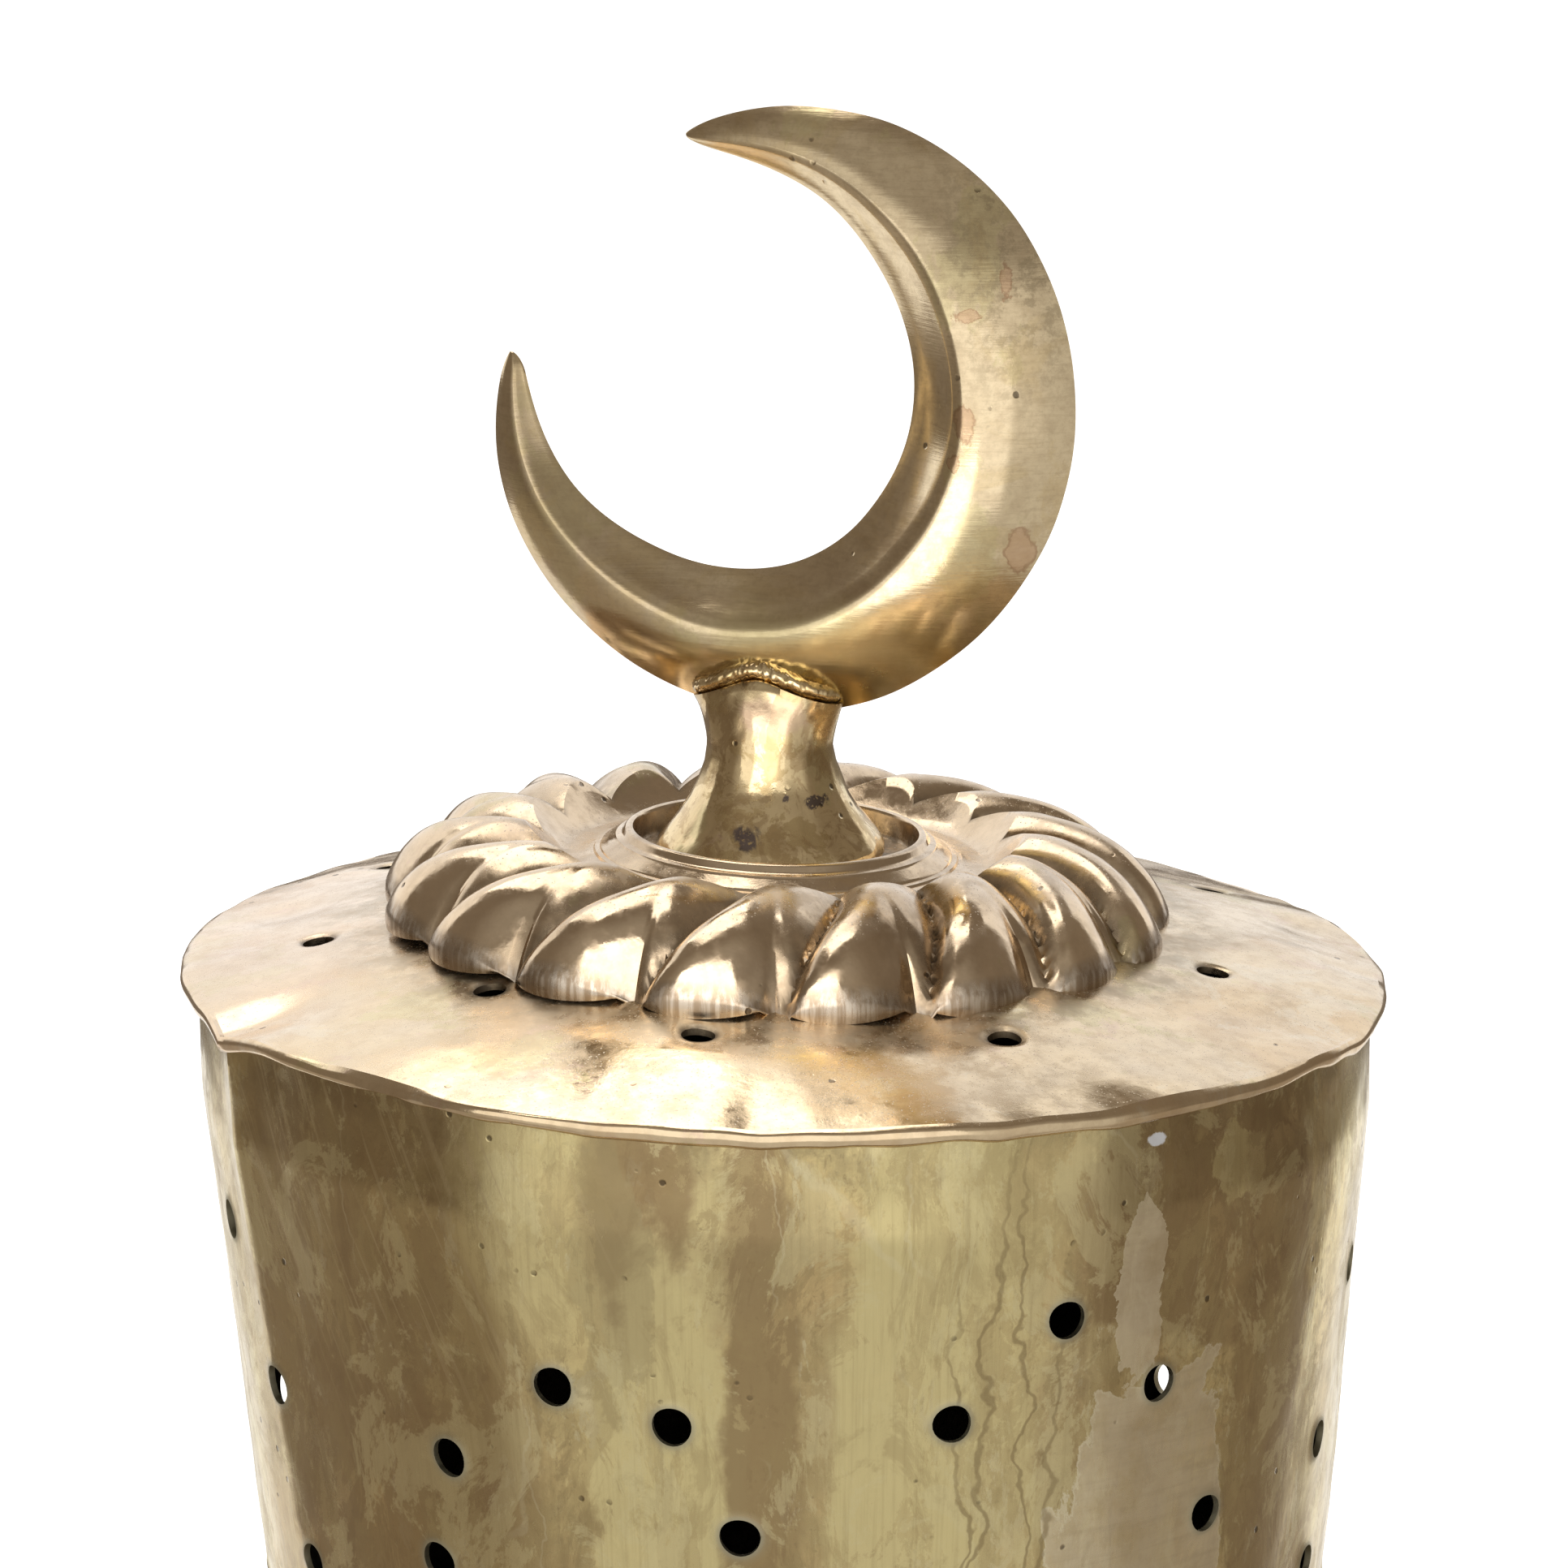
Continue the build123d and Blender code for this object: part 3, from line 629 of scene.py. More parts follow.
def wall_stains(tree, where, colour, rough):
    """Upright bands, jagged patches, dull hole rings, painted shade under the rim and painted highlight and
    shade on creases.
    """
    flat = unrolled(tree, where)
    streak = patchy(tree, stretched(tree, flat, (1.0, 0.2, 1.0)), 70, 0.42, 0.66, 6, 0.6, 0.6)
    colour = stain(tree, colour, streak, 0.40, BROWN)
    islands = patchy(tree, stretched(tree, flat, (1.0, 0.45, 1.0)), 95, 0.515, 0.535, 10, 0.72, 0.6)
    colour = stain(tree, colour, islands, 0.45, (0.50, 0.385, 0.19, 1))
    flecks = patchy(tree, stretched(tree, flat, (1.0, 0.6, 1.0)), 330, 0.555, 0.600, 8, 0.70, 0.4)
    colour = stain(tree, colour, flecks, 0.42, (0.40, 0.30, 0.15, 1))
    pale = patchy(tree, stretched(tree, flat, (1.2, 0.6, 1.0)), 120, 0.58, 0.595, 10, 0.74, 0.5)
    colour = stain(tree, colour, pale, 0.50, (0.84, 0.76, 0.50, 1))
    orange = patchy(tree, stretched(tree, flat, (1.0, 0.8, 1.0)), 48, 0.52, 0.66, 8, 0.7, 0.4)
    colour = stain(tree, colour, orange, 0.40, (0.82, 0.59, 0.29, 1))
    smoky = patchy(tree, stretched(tree, flat, (1.0, 0.30, 1.0)), 160, 0.54, 0.60, 9, 0.75, 1.2)
    colour = stain(tree, colour, smoky, 0.45, (0.36, 0.27, 0.14, 1))
    speckle = patchy(tree, flat, 1100, 0.60, 0.72, 3, 0.6)
    colour = stain(tree, colour, speckle, 0.35, (0.25, 0.19, 0.11, 1))
    # Painted shade with grime in the top nine millimetres, under the cap's rim.
    drop = add_node(tree, "SeparateXYZ", {"Vector": flat}).outputs["Y"]
    high = add_node(tree, "MapRange",
                    {"Value": drop, "From Min": -0.009, "From Max": -0.001}).outputs["Result"]
    grime_and_rim_shade = maths(tree, "MULTIPLY", high, patchy(tree, flat, 210, 0.38, 0.62, 7, 0.65))
    colour = stain(tree, colour, grime_and_rim_shade, 0.7, (0.22, 0.175, 0.10, 1))
    light = (0.84, 0.725, 0.38, 1)
    brown = (0.36, 0.25, 0.13, 1)
    bands = (  # place round and down, half sizes, edge, raggedness, strength, colour
        (-58, 60, 26, 120, 0.35, 0.35, 0.75, brown), (-30, 12, 9, 16, 0.30, 0.4, 0.6, light),
        (-17, 8, 6, 20, 0.15, 0.6, 0.75, brown), (-14, 52, 9, 34, 0.10, 0.6, 0.8, light),
        (-2.5, 45, 4.5, 60, 0.20, 0.6, 0.8, brown), (14, 46, 9, 40, 0.12, 0.6, 0.85, light),
        (32, 44, 5, 60, 0.12, 0.9, 0.30, brown), (22, 8, 13, 13, 0.35, 0.5, 0.7, light),
        (25, 44, 6, 50, 0.20, 0.8, 0.55, light), (-20, 20, 5, 17, 0.06, 1.0, 0.45, (0.45, 0.37, 0.20, 1)),
        (53, 16, 20, 16, 0.06, 0.7, 0.75, brown), (59, 11, 4, 5, 0.06, 1.3, 0.8, light),
        (68, 60, 8, 110, 0.10, 0.8, 0.7, brown),
    )
    for across, drop, wide, tall, edge, jag, strength, shade in bands:
        share = mark(tree, flat, across, drop, wide, tall, edge, jag)
        share = maths(tree, "MULTIPLY", share,
                      maths(tree, "SUBTRACT", 1.0, maths(tree, "MULTIPLY", islands, 0.45)))
        colour = tint(tree, maths(tree, "MULTIPLY", share, strength), colour, shade)
    cloudy = patchy(tree, stretched(tree, flat, (1.0, 0.55, 1.0)), 110, 0.50, 0.60, 10, 0.74, 0.9)
    colour = stain(tree, colour, cloudy, 0.38, (0.47, 0.365, 0.18, 1))
    rubbed = patchy(tree, stretched(tree, flat, (1.0, 0.7, 1.0)), 75, 0.53, 0.57, 10, 0.74, 0.7)
    colour = stain(tree, colour, rubbed, 0.40, (0.84, 0.745, 0.43, 1))
    drawn = patchy(tree, stretched(tree, flat, (1500, 45, 1)), 1.0, 0.45, 0.75, 4, 0.6)
    colour = stain(tree, colour, drawn, 0.28, (0.42, 0.32, 0.16, 1))
    bare = mark(tree, flat, 47, 53, 13, 20, 0.03, 0.9)
    bare = maths(tree, "MAXIMUM", bare, mark(tree, flat, 44, 24, 3.6, 11, 0.03, 1.1))
    bare = maths(tree, "MAXIMUM", bare, mark(tree, flat, -34, 100, 12, 20, 0.04, 1.1))
    bare = maths(tree, "MAXIMUM", bare, mark(tree, flat, 170, 60, 20, 30, 0.04, 1.1))
    bare = maths(tree, "MAXIMUM", bare, mark(tree, flat, -140, 90, 17, 24, 0.04, 1.1))
    rim_of_bare = maths(tree, "MULTIPLY", bare, maths(tree, "SUBTRACT", 1.0, bare))
    brushed = patchy(tree, stretched(tree, flat, (60, 900, 1)), 1.0, 0.45, 0.70, 4, 0.6)
    uneven = maths(tree, "MULTIPLY", bare, patchy(tree, flat, 130, 0.30, 0.62, 9, 0.7))
    colour = stain(tree, colour, bare, 0.45, (0.84, 0.72, 0.50, 1))
    colour = stain(tree, colour, uneven, 0.50, (0.90, 0.80, 0.60, 1))
    colour = tint(tree, maths(tree, "MULTIPLY", maths(tree, "MULTIPLY", bare, brushed), 0.28), colour,
                  (0.60, 0.50, 0.33, 1))
    colour = stain(tree, colour, rim_of_bare, 2.4, (0.92, 0.84, 0.62, 1))
    # Thin crease lines: the pale ones are a painted highlight along the creases.
    shaken = add_node(tree, "TexNoise", {"Vector": flat, "Scale": 90.0, "Detail": 4.0}).outputs["Color"]
    shaken = add_node(tree, "VectorMath", {0: shaken, 1: (0.012, 0.012, 0.012)},
                      operation="MULTIPLY").outputs[0]
    shaken = add_node(tree, "VectorMath", {0: shaken, 1: flat}, operation="ADD").outputs[0]
    cells = add_node(tree, "TexVoronoi", {"Vector": stretched(tree, shaken, (44, 6, 1)), "Scale": 1.0},
                     feature="DISTANCE_TO_EDGE", voronoi_dimensions="2D")
    line = add_node(tree, "MapRange",
                    {"Value": cells.outputs["Distance"], "From Min": 0.004, "From Max": 0.010,
                     "To Min": 1.0, "To Max": 0.0}).outputs["Result"]
    crease_highlight_share = patchy(tree, flat, 40, 0.45, 0.6, 3, 0.5)
    line = maths(tree, "MULTIPLY", line, crease_highlight_share)
    colour = stain(tree, colour, line, 0.20, (0.95, 0.88, 0.62, 1))
    # The dark crease lines in one patch are painted shade along the creases.
    cells = add_node(tree, "TexVoronoi", {"Vector": stretched(tree, shaken, (150, 11, 1)), "Scale": 1.0},
                     feature="DISTANCE_TO_EDGE", voronoi_dimensions="2D")
    line = add_node(tree, "MapRange",
                    {"Value": cells.outputs["Distance"], "From Min": 0.02, "From Max": 0.05,
                     "To Min": 1.0, "To Max": 0.0}).outputs["Result"]
    line = maths(tree, "MULTIPLY", line, mark(tree, flat, 27, 42, 9, 34, 0.4, 0.7))
    colour = stain(tree, colour, line, 0.6, (0.30, 0.22, 0.11, 1))
    # A small bluish-white spot near the rim, duller than the brass.
    bluish_white_spot = mark(tree, flat, 45.2, 5.6, 1.3, 0.8, 0.15, 0.6)
    colour = tint(tree, bluish_white_spot, colour, (0.86, 0.88, 0.92, 1))
    rough = duller(tree, rough, bluish_white_spot, 0.45)
    strokes = add_node(tree, "Mapping",
                       {"Vector": flat, "Rotation": (0, 0, radians(-24))}).outputs["Vector"]
    strokes = patchy(tree, stretched(tree, strokes, (900, 22, 1)), 1.0, 0.55, 0.62, 3, 0.6)
    strokes = maths(tree, "MULTIPLY", strokes, mark(tree, flat, -58, 16, 30, 22, 0.5, 0.4))
    colour = stain(tree, colour, strokes, 0.55, (0.62, 0.50, 0.29, 1))
    burr = add_node(tree, "Attribute", attribute_name="burr").outputs["Fac"]
    colour = stain(tree, colour, burr, 0.75, (0.46, 0.44, 0.33, 1))
    rough = duller(tree, rough, bare, 0.12)
    rough = duller(tree, rough, maths(tree, "ADD", islands, grime_and_rim_shade), 0.07)
    return colour, duller(tree, rough, burr, 0.25)


wall_clean = (0.82, 0.675, 0.34, 1)
sheet_brass = brass("sheet_brass", wall_clean, brown=0.35, olive=0.6, pink=0.2, shine=0.13,
                    grain=(700, 700, 120), pits=0.1, beaten=0.2, extra=wall_stains)
# Inside faces of the wall and cap: soot with painted shade, nearly black.
soot_and_shade_brass = worn_metal("soot_and_shade_brass", (0.050, 0.036, 0.022, 1), (0.018, 0.014, 0.011, 1), 0.5, 0.6, 60,
                         0.5)
wall_start, wall_step, wall_rows = 1.55, 1.25, 123
hood_skin = pierced_sheet("pierced_wall", wall_rows, wall_step, wall_start,
                          front_punches + back_punches + lower_punches, 2.35, wall_point,
                          [hem_run(180 + 24 * k) for k in range(1, 14)], 0.14)
finish_piece(hood_skin, "hood", "sheet_brass", [sheet_brass, soot_and_shade_brass], "hood_wall")
dress_node("hem_wire", iron_wire)


# ---- seam rivets ----------------------------------------------------------------------------
# Nine brass rivets close the wall's lap at the back. Their heads are hammered flat, inside and out.

seam_heads = []
for k in range(9):
    depth = 12 + 17 * k
    spot = Vector(wall_point(180, depth))
    seam_heads.append((spot + Vector((0, 0.02, 0)), Vector((0, 1, -0.1))))
    seam_heads.append((spot + Vector((0, -2 * SHEET - 0.02, 0)), Vector((0, -1, 0.1))))
finish_piece(rivet_mesh("seam_rivet_heads", seam_heads, 2.3, 1.0), "hood", "rivet_brass", [rivet_brass],
             "seam_rivets")


# ---- cap plate ------------------------------------------------------------------------------
# A disc of sheet brass, beaten to a shallow dome, punched with nine vents, and paned down over the wall's
# flange. It is dented, and sits a little lower on the right.

CAP = 75.0  # radius at the folded edge
RISE = 10.0  # the middle of the dome over its edge
ROSETTE_X = -1.0  # the rosette stands a little to the left of the middle
cap_dents = (  # azimuth, radius, width, depth
    (-63, 68, 11, 0.9), (20, 50, 10, 0.9), (-8, 50, 9, 0.5), (62, 66, 13, 0.8), (88, 62, 10, -0.6),
    (104, 68, 9, 0.7), (-100, 64, 10, 0.8), (-120, 66, 9, -0.6), (-40, 66, 12, -0.5), (140, 62, 14, 0.8),
    (35, 70, 8, -0.4), (-165, 64, 12, 0.7), (170, 68, 9, -0.5),
)


def cap_point(azimuth, radius, inward=0.0):
    a = radians(azimuth)
    x, y = radius * sin(a), -radius * cos(a)
    z = RISE * (1 - (radius / CAP) ** 2) - inward
    spot = Vector((x, y, 0))
    z += ease(radius, 30, 50) * (0.45 * noise.noise(spot / 24) + 0.05 * noise.noise(spot / 8))
    for az, r, width, depth in cap_dents:
        gap = (x - r * sin(radians(az))) ** 2 + (y + r * cos(radians(az))) ** 2
        z -= depth * exp(-gap / (width * 0.6) ** 2)
    out, up = rim_knock(azimuth)
    fade = ease(radius, CAP - 18, CAP)
    reach = 1 + out * fade / CAP
    return (x * reach, y * reach, RIM + z + up * fade - x * sin(radians(TILT)))


def fold_run(r, z):
    """One line of points along the cap's folded edge: radius, and height over the rim."""

    def run(column):
        a = radians(column)
        out, up = rim_knock(column)
        ragged = 0.35 * noise.noise(Vector((sin(a), cos(a), 0)) * 14) + 0.9 * near(column, -38, 30)
        ragged *= ease(-z, 0.8, 2.2)
        reach = r + out
        return (reach * sin(a), -reach * cos(a), RIM + z + ragged + up - r * sin(a) * sin(radians(TILT)))

    return run


vents = [  # azimuth and radius
    (-83, 58), (-45, 49.5), (-11, 52.5), (28, 55), (72, 55), (119, 63), (158, 57), (-162, 56), (-122, 60),
]
fold = [  # radius and height over the rim, from under the flange, round the fold and up to the top
    (73.9, -0.75), (74.15, -1.1), (73.9, -1.5), (73.3, -1.55), (73.2, -1.75), (73.3, -2.0), (73.9, -2.05),
    (74.5, -1.9), (74.85, -1.5), (75.0, -0.95), (74.9, -0.35), (74.6, 0.0),
]


def cap_stains(tree, where, colour, rough):
    """Warm blotches, paler rubbed places, a rosy bloom at the left, and grime with painted shade against the
    rosette.
    """
    warm = patchy(tree, where, 42, 0.46, 0.60, 8, 0.66, 0.6)
    colour = stain(tree, colour, warm, 0.50, (0.74, 0.53, 0.31, 1))
    rubbed = patchy(tree, where, 58, 0.56, 0.62, 8, 0.70, 0.4)
    colour = stain(tree, colour, rubbed, 0.40, (0.88, 0.79, 0.62, 1))
    rosy = maths(tree, "MULTIPLY", mark(tree, where, -62, -8, 18, 40, 0.5, 0.6), 0.35)
    colour = tint(tree, rosy, colour, (0.88, 0.70, 0.60, 1))
    # Painted shade with grime in a ring on the cap round the rosette's foot.
    round_it = mark(tree, where, ROSETTE_X, 0, 55, 55, 0.07, 0.12)
    grime_with_shade = maths(tree, "MULTIPLY", round_it, patchy(tree, where, 150, 0.35, 0.60, 7, 0.7))
    colour = stain(tree, colour, grime_with_shade, 0.55, (0.30, 0.25, 0.17, 1))
    dull = maths(tree, "ADD", maths(tree, "MULTIPLY", warm, 0.06), maths(tree, "MULTIPLY", grime_with_shade, 0.15))
    return colour, maths(tree, "ADD", rough, dull)


# The vents' dimpled edges get painted shade with grime.
cap_top = brass("cap_brass", (0.86, 0.69, 0.46, 1), brown=0.22, olive=0.15, pink=0.6, shine=0.09,
                grain=(600, 600, 600), pits=0.2, beaten=0.14, glow=0.10, dust=0.45, grime_and_shade="burr",
                extra=cap_stains)
cap = pierced_sheet("domed_cap", 56, 1.25, 4.0, vents, 2.0, cap_point, [fold_run(r, z) for r, z in fold],
                    -0.35, True)
finish_piece(cap, "hood", "sheet_brass", [cap_top, soot_and_shade_brass], "cap_plate")
dress_node("finial_stud", screw_steel)
dress_node("backing_washer", screw_steel)
dress_node("stud_nut", screw_steel)


# ---- rosette --------------------------------------------------------------------------------
# A cast brass boss: seventeen rounded lobes swirl round a dish that was turned in the lathe, with a raised
# ring and a recess for the stem. Its edge was filed by hand. Painted shade with grime darkens the grooves
# between the lobes, the recess and the underside.

ROSETTE = 49.0  # radius at the lobes' tips
LOBES = 17
ROSETTE_TILT = 2.0  # degrees down to the right
crest_line = (  # radius and height along the top of a lobe
    (28.0, 17.3), (31.0, 18.0), (34.5, 18.2), (38.0, 17.7), (41.5, 16.6), (44.5, 14.7), (46.8, 12.3),
    (48.3, 10.0), (49.0, 8.4),
)


def along(line, r):
    """Height on a line of radius and height pairs, rounded between them."""
    for k in range(len(line) - 1):
        if r <= line[k + 1][0]:
            break
    (r0, z0), (r1, z1) = line[k], line[k + 1]
    before = line[k - 1] if k else (2 * r0 - r1, 2 * z0 - z1)
    after = line[k + 2] if k + 2 < len(line) else (2 * r1 - r0, 2 * z1 - z0)
    t = min(1.0, max(0.0, (r - r0) / (r1 - r0)))
    slope0 = (z1 - before[1]) / (r1 - before[0]) * (r1 - r0)
    slope1 = (after[1] - z0) / (after[0] - r0) * (r1 - r0)
    t2, t3 = t * t, t * t * t
    first = (2 * t3 - 3 * t2 + 1) * z0 + (t3 - 2 * t2 + t) * slope0
    return first + (3 * t2 - 2 * t3) * z1 + (t3 - t2) * slope1


def lobe_share(azimuth, r):
    """Where a point lies across its lobe, from -1 at one groove to 1 at the next."""
    swirl = 17.0 * ((max(r, 26.0) - 26.0) / 23.0) ** 1.15
    place = (azimuth + 0.2 + swirl - 17.0) * LOBES / 360
    return 2 * (place - round(place - 0.5) - 0.5)


def lobe_round(azimuth, r):
    t = lobe_share(azimuth, r)
    t = abs(t + 0.16 * (1 - t * t)) ** 2.05
    return 1 - 0.38 * t - 0.62 * (1 - sqrt(max(0.0, 1 - t)))


def turned_cut(r):
    """The dish turned into the lobes' inner ends."""
    return 13.7 + 0.95 * max(0.0, r - 26.6) if r > 26.6 else 13.7


def scalloped(azimuth):
    return ROSETTE - 3.5 * (1 - lobe_round(azimuth, ROSETTE))


def lobe_height(azimuth, r):
    edge = scalloped(azimuth)
    at_crest = along(crest_line, 28.0 + (r - 28.0) * (ROSETTE - 28.0) / (edge - 28.0))
    depth = 4.9 * ease(r, 22, 37) * (1 - 0.5 * ease(r, 45.5, 49))
    return at_crest - depth * (1 - lobe_round(azimuth, r))


def cut_radius(azimuth):
    """Where the turned dish meets the lobe, found by halving."""
    low, high = 25.0, 36.0
    for _ in range(24):
        middle = (low + high) / 2
        if turned_cut(middle) < lobe_height(azimuth, middle):
            low = middle
        else:
            high = middle
    return low


def rosette_mesh():
    columns = LOBES * 28
    points, loops, grime_and_shade_values, files = [], [], [], []
    flat_lines = [  # radius and height: the bore and recess, the raised ring, its steps and the dish
        (9.0, 11.0), (3.2, 11.0), (3.2, 14.0), (8.0, 14.0), (12.0, 14.0), (15.5, 13.95), (17.3, 14.05),
        (17.6, 14.5), (17.65, 16.8), (17.8, 17.2), (18.1, 17.3), (18.5, 17.25), (18.8, 17.0),
        (18.95, 16.45), (19.3, 16.2), (19.9, 16.1), (20.1, 15.75), (20.8, 15.5), (21.0, 15.15),
        (21.7, 14.9), (21.9, 14.55), (22.5, 14.45), (22.7, 14.15), (23.3, 14.1), (24.0, 13.85),
        (24.8, 13.72), (25.6, 13.68), (26.4, 13.7),
    ]
    azimuths = [360 * k / columns for k in range(columns)]

    def line(values):
        loop = []
        for azimuth, (r, z, grime_and_shade, filed) in zip(azimuths, values):
            a = radians(azimuth)
            loop.append(len(points))
            x = r * sin(a)
            points.append((ROSETTE_X + x, -r * cos(a), RIM + z - x * sin(radians(ROSETTE_TILT))))
            grime_and_shade_values.append(grime_and_shade)
            files.append(filed)
        loops.append(loop)

    cuts = [cut_radius(azimuth) for azimuth in azimuths]
    # The third value of each point is painted shade with grime: strong in the stem's recess, along the
    # grooves and under the rosette, faint on the turned dish.
    for r, z in flat_lines:
        line([(r, z, 0.9 if r < 17.7 and z < 16 else 0.15, 0.0)] * columns)
    for share in (0.25, 0.5, 0.75):
        line([(26.4 + (c - 26.4) * share, turned_cut(26.4 + (c - 26.4) * share), 0.1, 0.0) for c in cuts])
    rows = 40
    for row in range(rows + 1):
        share = (row / rows) ** 0.9
        values = []
        for azimuth, c in zip(azimuths, cuts):
            r = c + (scalloped(azimuth) - c) * share
            bulge = lobe_round(azimuth, r)
            values.append((r, lobe_height(azimuth, r), (1 - bulge) ** 1.3, ease(share, 0.95, 1.0)))
        line(values)
    for drop, inset in ((0.35, -0.12), (0.8, -0.18), (1.4, -0.2), (2.0, -0.16), (2.5, -0.05)):
        values = []
        for azimuth in azimuths:
            a = radians(azimuth)
            top = lobe_height(azimuth, scalloped(azimuth))
            low = min(top - 0.4, 5.6 + 1.5 * (1 - lobe_round(azimuth, ROSETTE)))
            z = top - (top - low) * drop / 2.5
            values.append((scalloped(azimuth) - inset, z, 0.25 * (1 - lobe_round(azimuth, ROSETTE)), 1.0))
        line(values)
    # Under the rosette: full painted shade.
    line([(scalloped(azimuth) - 2.4, 6.1, 1.0, 0.0) for azimuth in azimuths])
    line([(44.0, 8.6, 1.0, 0.0)] * columns)
    line([(36.0, 11.0, 1.0, 0.0)] * columns)
    faces = strips(loops + [loops[0]])
    rosette = mesh_piece("swirl_rosette", points, faces, 42)
    for name, values in (("grime_and_shade", grime_and_shade_values), ("filed", files)):
        rosette.data.attributes.new(name, "FLOAT", "POINT").data.foreach_set("value", values)
    return rosette


def file_marks(tree, where, colour, rough):
    """Pale upright strokes on the darkened filed edge, and a thin brown veil over the rest."""
    filed = add_node(tree, "Attribute", attribute_name="filed").outputs["Fac"]
    strokes = patchy(tree, stretched(tree, where, (1400, 1400, 60)), 1.0, 0.40, 0.62, 4, 0.6)
    strokes = maths(tree, "MULTIPLY", strokes, filed)
    colour = stain(tree, colour, filed, 0.80, (0.25, 0.185, 0.13, 1))
    colour = stain(tree, colour, strokes, 0.55, (0.80, 0.73, 0.63, 1))
    veil = patchy(tree, where, 90, 0.30, 0.70, 7, 0.65)
    colour = stain(tree, colour, veil, 0.30, (0.60, 0.48, 0.36, 1))
    return colour, duller(tree, rough, filed, 0.16)


rosette_brass = brass("rosette_brass", (0.85, 0.67, 0.46, 1), brown=0.32, olive=0.0, pink=0.25, shine=0.06,
                      grain=(900, 900, 900), pits=0.25, beaten=0.04, glow=0.16, dust=0.95, grime_and_shade="grime_and_shade",
                      extra=file_marks)
finish_piece(rosette_mesh(), "hood", "rosette_brass", [rosette_brass], "rosette")


# ---- finial stem ----------------------------------------------------------------------------
# A cast, waisted stem. Its foot stands in the rosette's recess, and its top is drawn up round the crescent
# and run in with brazing metal, which left a lumpy bead and a few blowholes.

STEM_X = -1.7  # the stem leans against the left of its recess
YAW = -18.0  # degrees that the stem and crescent are turned
stem_side = (  # radius and height over the rim, from the foot to the waist
    (13.2, 13.9), (14.0, 14.15), (14.35, 14.8), (14.3, 15.6), (13.9, 16.4), (13.1, 17.4), (12.0, 18.7),
    (10.9, 20.2), (9.8, 22.0), (8.9, 24.0), (8.2, 26.0), (7.8, 28.0),
)


def stem_mesh():
    columns = 288
    face_on = radians(YAW - 90)
    points, loops, grime_and_shade_values = [], [], []

    def line(shape, lumps, grime_and_shade):
        """One ring of points. shape gives radius and height for a share of the way to the crescent's face."""
        loop = []
        for k in range(columns):
            a = 2 * pi * k / columns
            r, z = shape(cos(a - face_on) ** 2)
            spot = Vector((r * cos(a), r * sin(a), z))
            cast = 0.26 * noise.noise(spot / 4.5) + 0.12 * noise.noise(spot / 1.8)
            r += cast + lumps * (0.6 * noise.noise(spot * 1.1) + 0.7 * noise.noise(spot * 2.6))
            loop.append(len(points))
            grime_and_shade_values.append(grime_and_shade)
            points.append((STEM_X + r * cos(a), r * sin(a),
                           RIM + z + lumps * 0.8 * noise.noise(spot * 2.3)))
        loops.append(loop)

    for r, z in stem_side:
        line(lambda front: (r, z), 0.0, 0.0)
    rim = lambda front: (9.55 - 3.9 * front ** 1.1, 34.0 + 3.2 * front)
    # The last value of each ring is painted shade with grime: rising up the waist to the bead, along its join
    # and under it.
    for k in range(1, 9):
        share = k / 8
        line(lambda front: (7.8 + (rim(front)[0] - 7.8) * share ** 1.7, 28 + (rim(front)[1] - 28) * share),
             0.0, 0.25 * share ** 4)
    line(lambda front: (rim(front)[0] - 0.35, rim(front)[1] + 0.12), 0.0, 0.6)
    for turn in (-75, -55, -35, -15, 5, 25, 45, 65, 80):
        out, up = cos(radians(turn)), sin(radians(turn))
        line(lambda front: (rim(front)[0] - 1.2 + 1.45 * out, rim(front)[1] + 1.25 + 1.2 * up), 0.28,
             0.35 if turn < -50 else 0.0)
    for inset, climb in ((0.70, 2.9), (0.60, 3.4), (0.50, 4.0), (0.40, 4.6), (0.25, 5.0), (0.1, 5.2)):
        line(lambda front: (rim(front)[0] * inset, rim(front)[1] + climb), 0.30, 0.0)
    faces = strips(loops) + [tuple(reversed(loops[0])), tuple(loops[-1])]
    stem = mesh_piece("waisted_stem", points, faces, 70)
    stem.data.attributes.new("grime_and_shade", "FLOAT", "POINT").data.foreach_set("value", grime_and_shade_values)
    return stem


def stem_stains(tree, where, colour, rough):
    """Tarnish with sharp edges, a rosy patch under the bead, and burnt blowholes on the foot."""
    film = patchy(tree, where, 115, 0.50, 0.53, 8, 0.7, 0.8)
    colour = stain(tree, colour, film, 0.62, (0.50, 0.355, 0.16, 1))
    browned = patchy(tree, where, 240, 0.50, 0.55, 9, 0.72, 0.8)
    colour = stain(tree, colour, browned, 0.45, (0.42, 0.27, 0.13, 1))
    part = add_node(tree, "SeparateXYZ", {"Vector": where})
    rise = maths(tree, "SUBTRACT", part.outputs["Z"], RIM * MM)
    face = add_node(tree, "CombineXYZ", {"X": part.outputs["X"], "Y": rise}).outputs["Vector"]
    rosy = mark(tree, face, -1, -33, 4.0, 2.4, 0.2, 0.7)
    colour = stain(tree, colour, rosy, 0.5, (0.72, 0.50, 0.38, 1))
    holes = mark(tree, face, -4.6, -18.6, 1.5, 1.4, 0.2, 1.2)
    holes = maths(tree, "MAXIMUM", holes, mark(tree, face, 3.9, -22.6, 1.4, 0.7, 0.2, 1.2))
    holes = maths(tree, "MAXIMUM", holes, mark(tree, face, 0.2, -23.2, 0.4, 0.4, 0.3, 1.6))
    speck = patchy(tree, where, 2200, 0.30, 0.46, 2, 0.5)
    holes = maths(tree, "MULTIPLY", holes, speck)
    colour = stain(tree, colour, holes, 0.9, (0.12, 0.095, 0.10, 1))
    return colour, duller(tree, rough, maths(tree, "ADD", film, holes), 0.12)


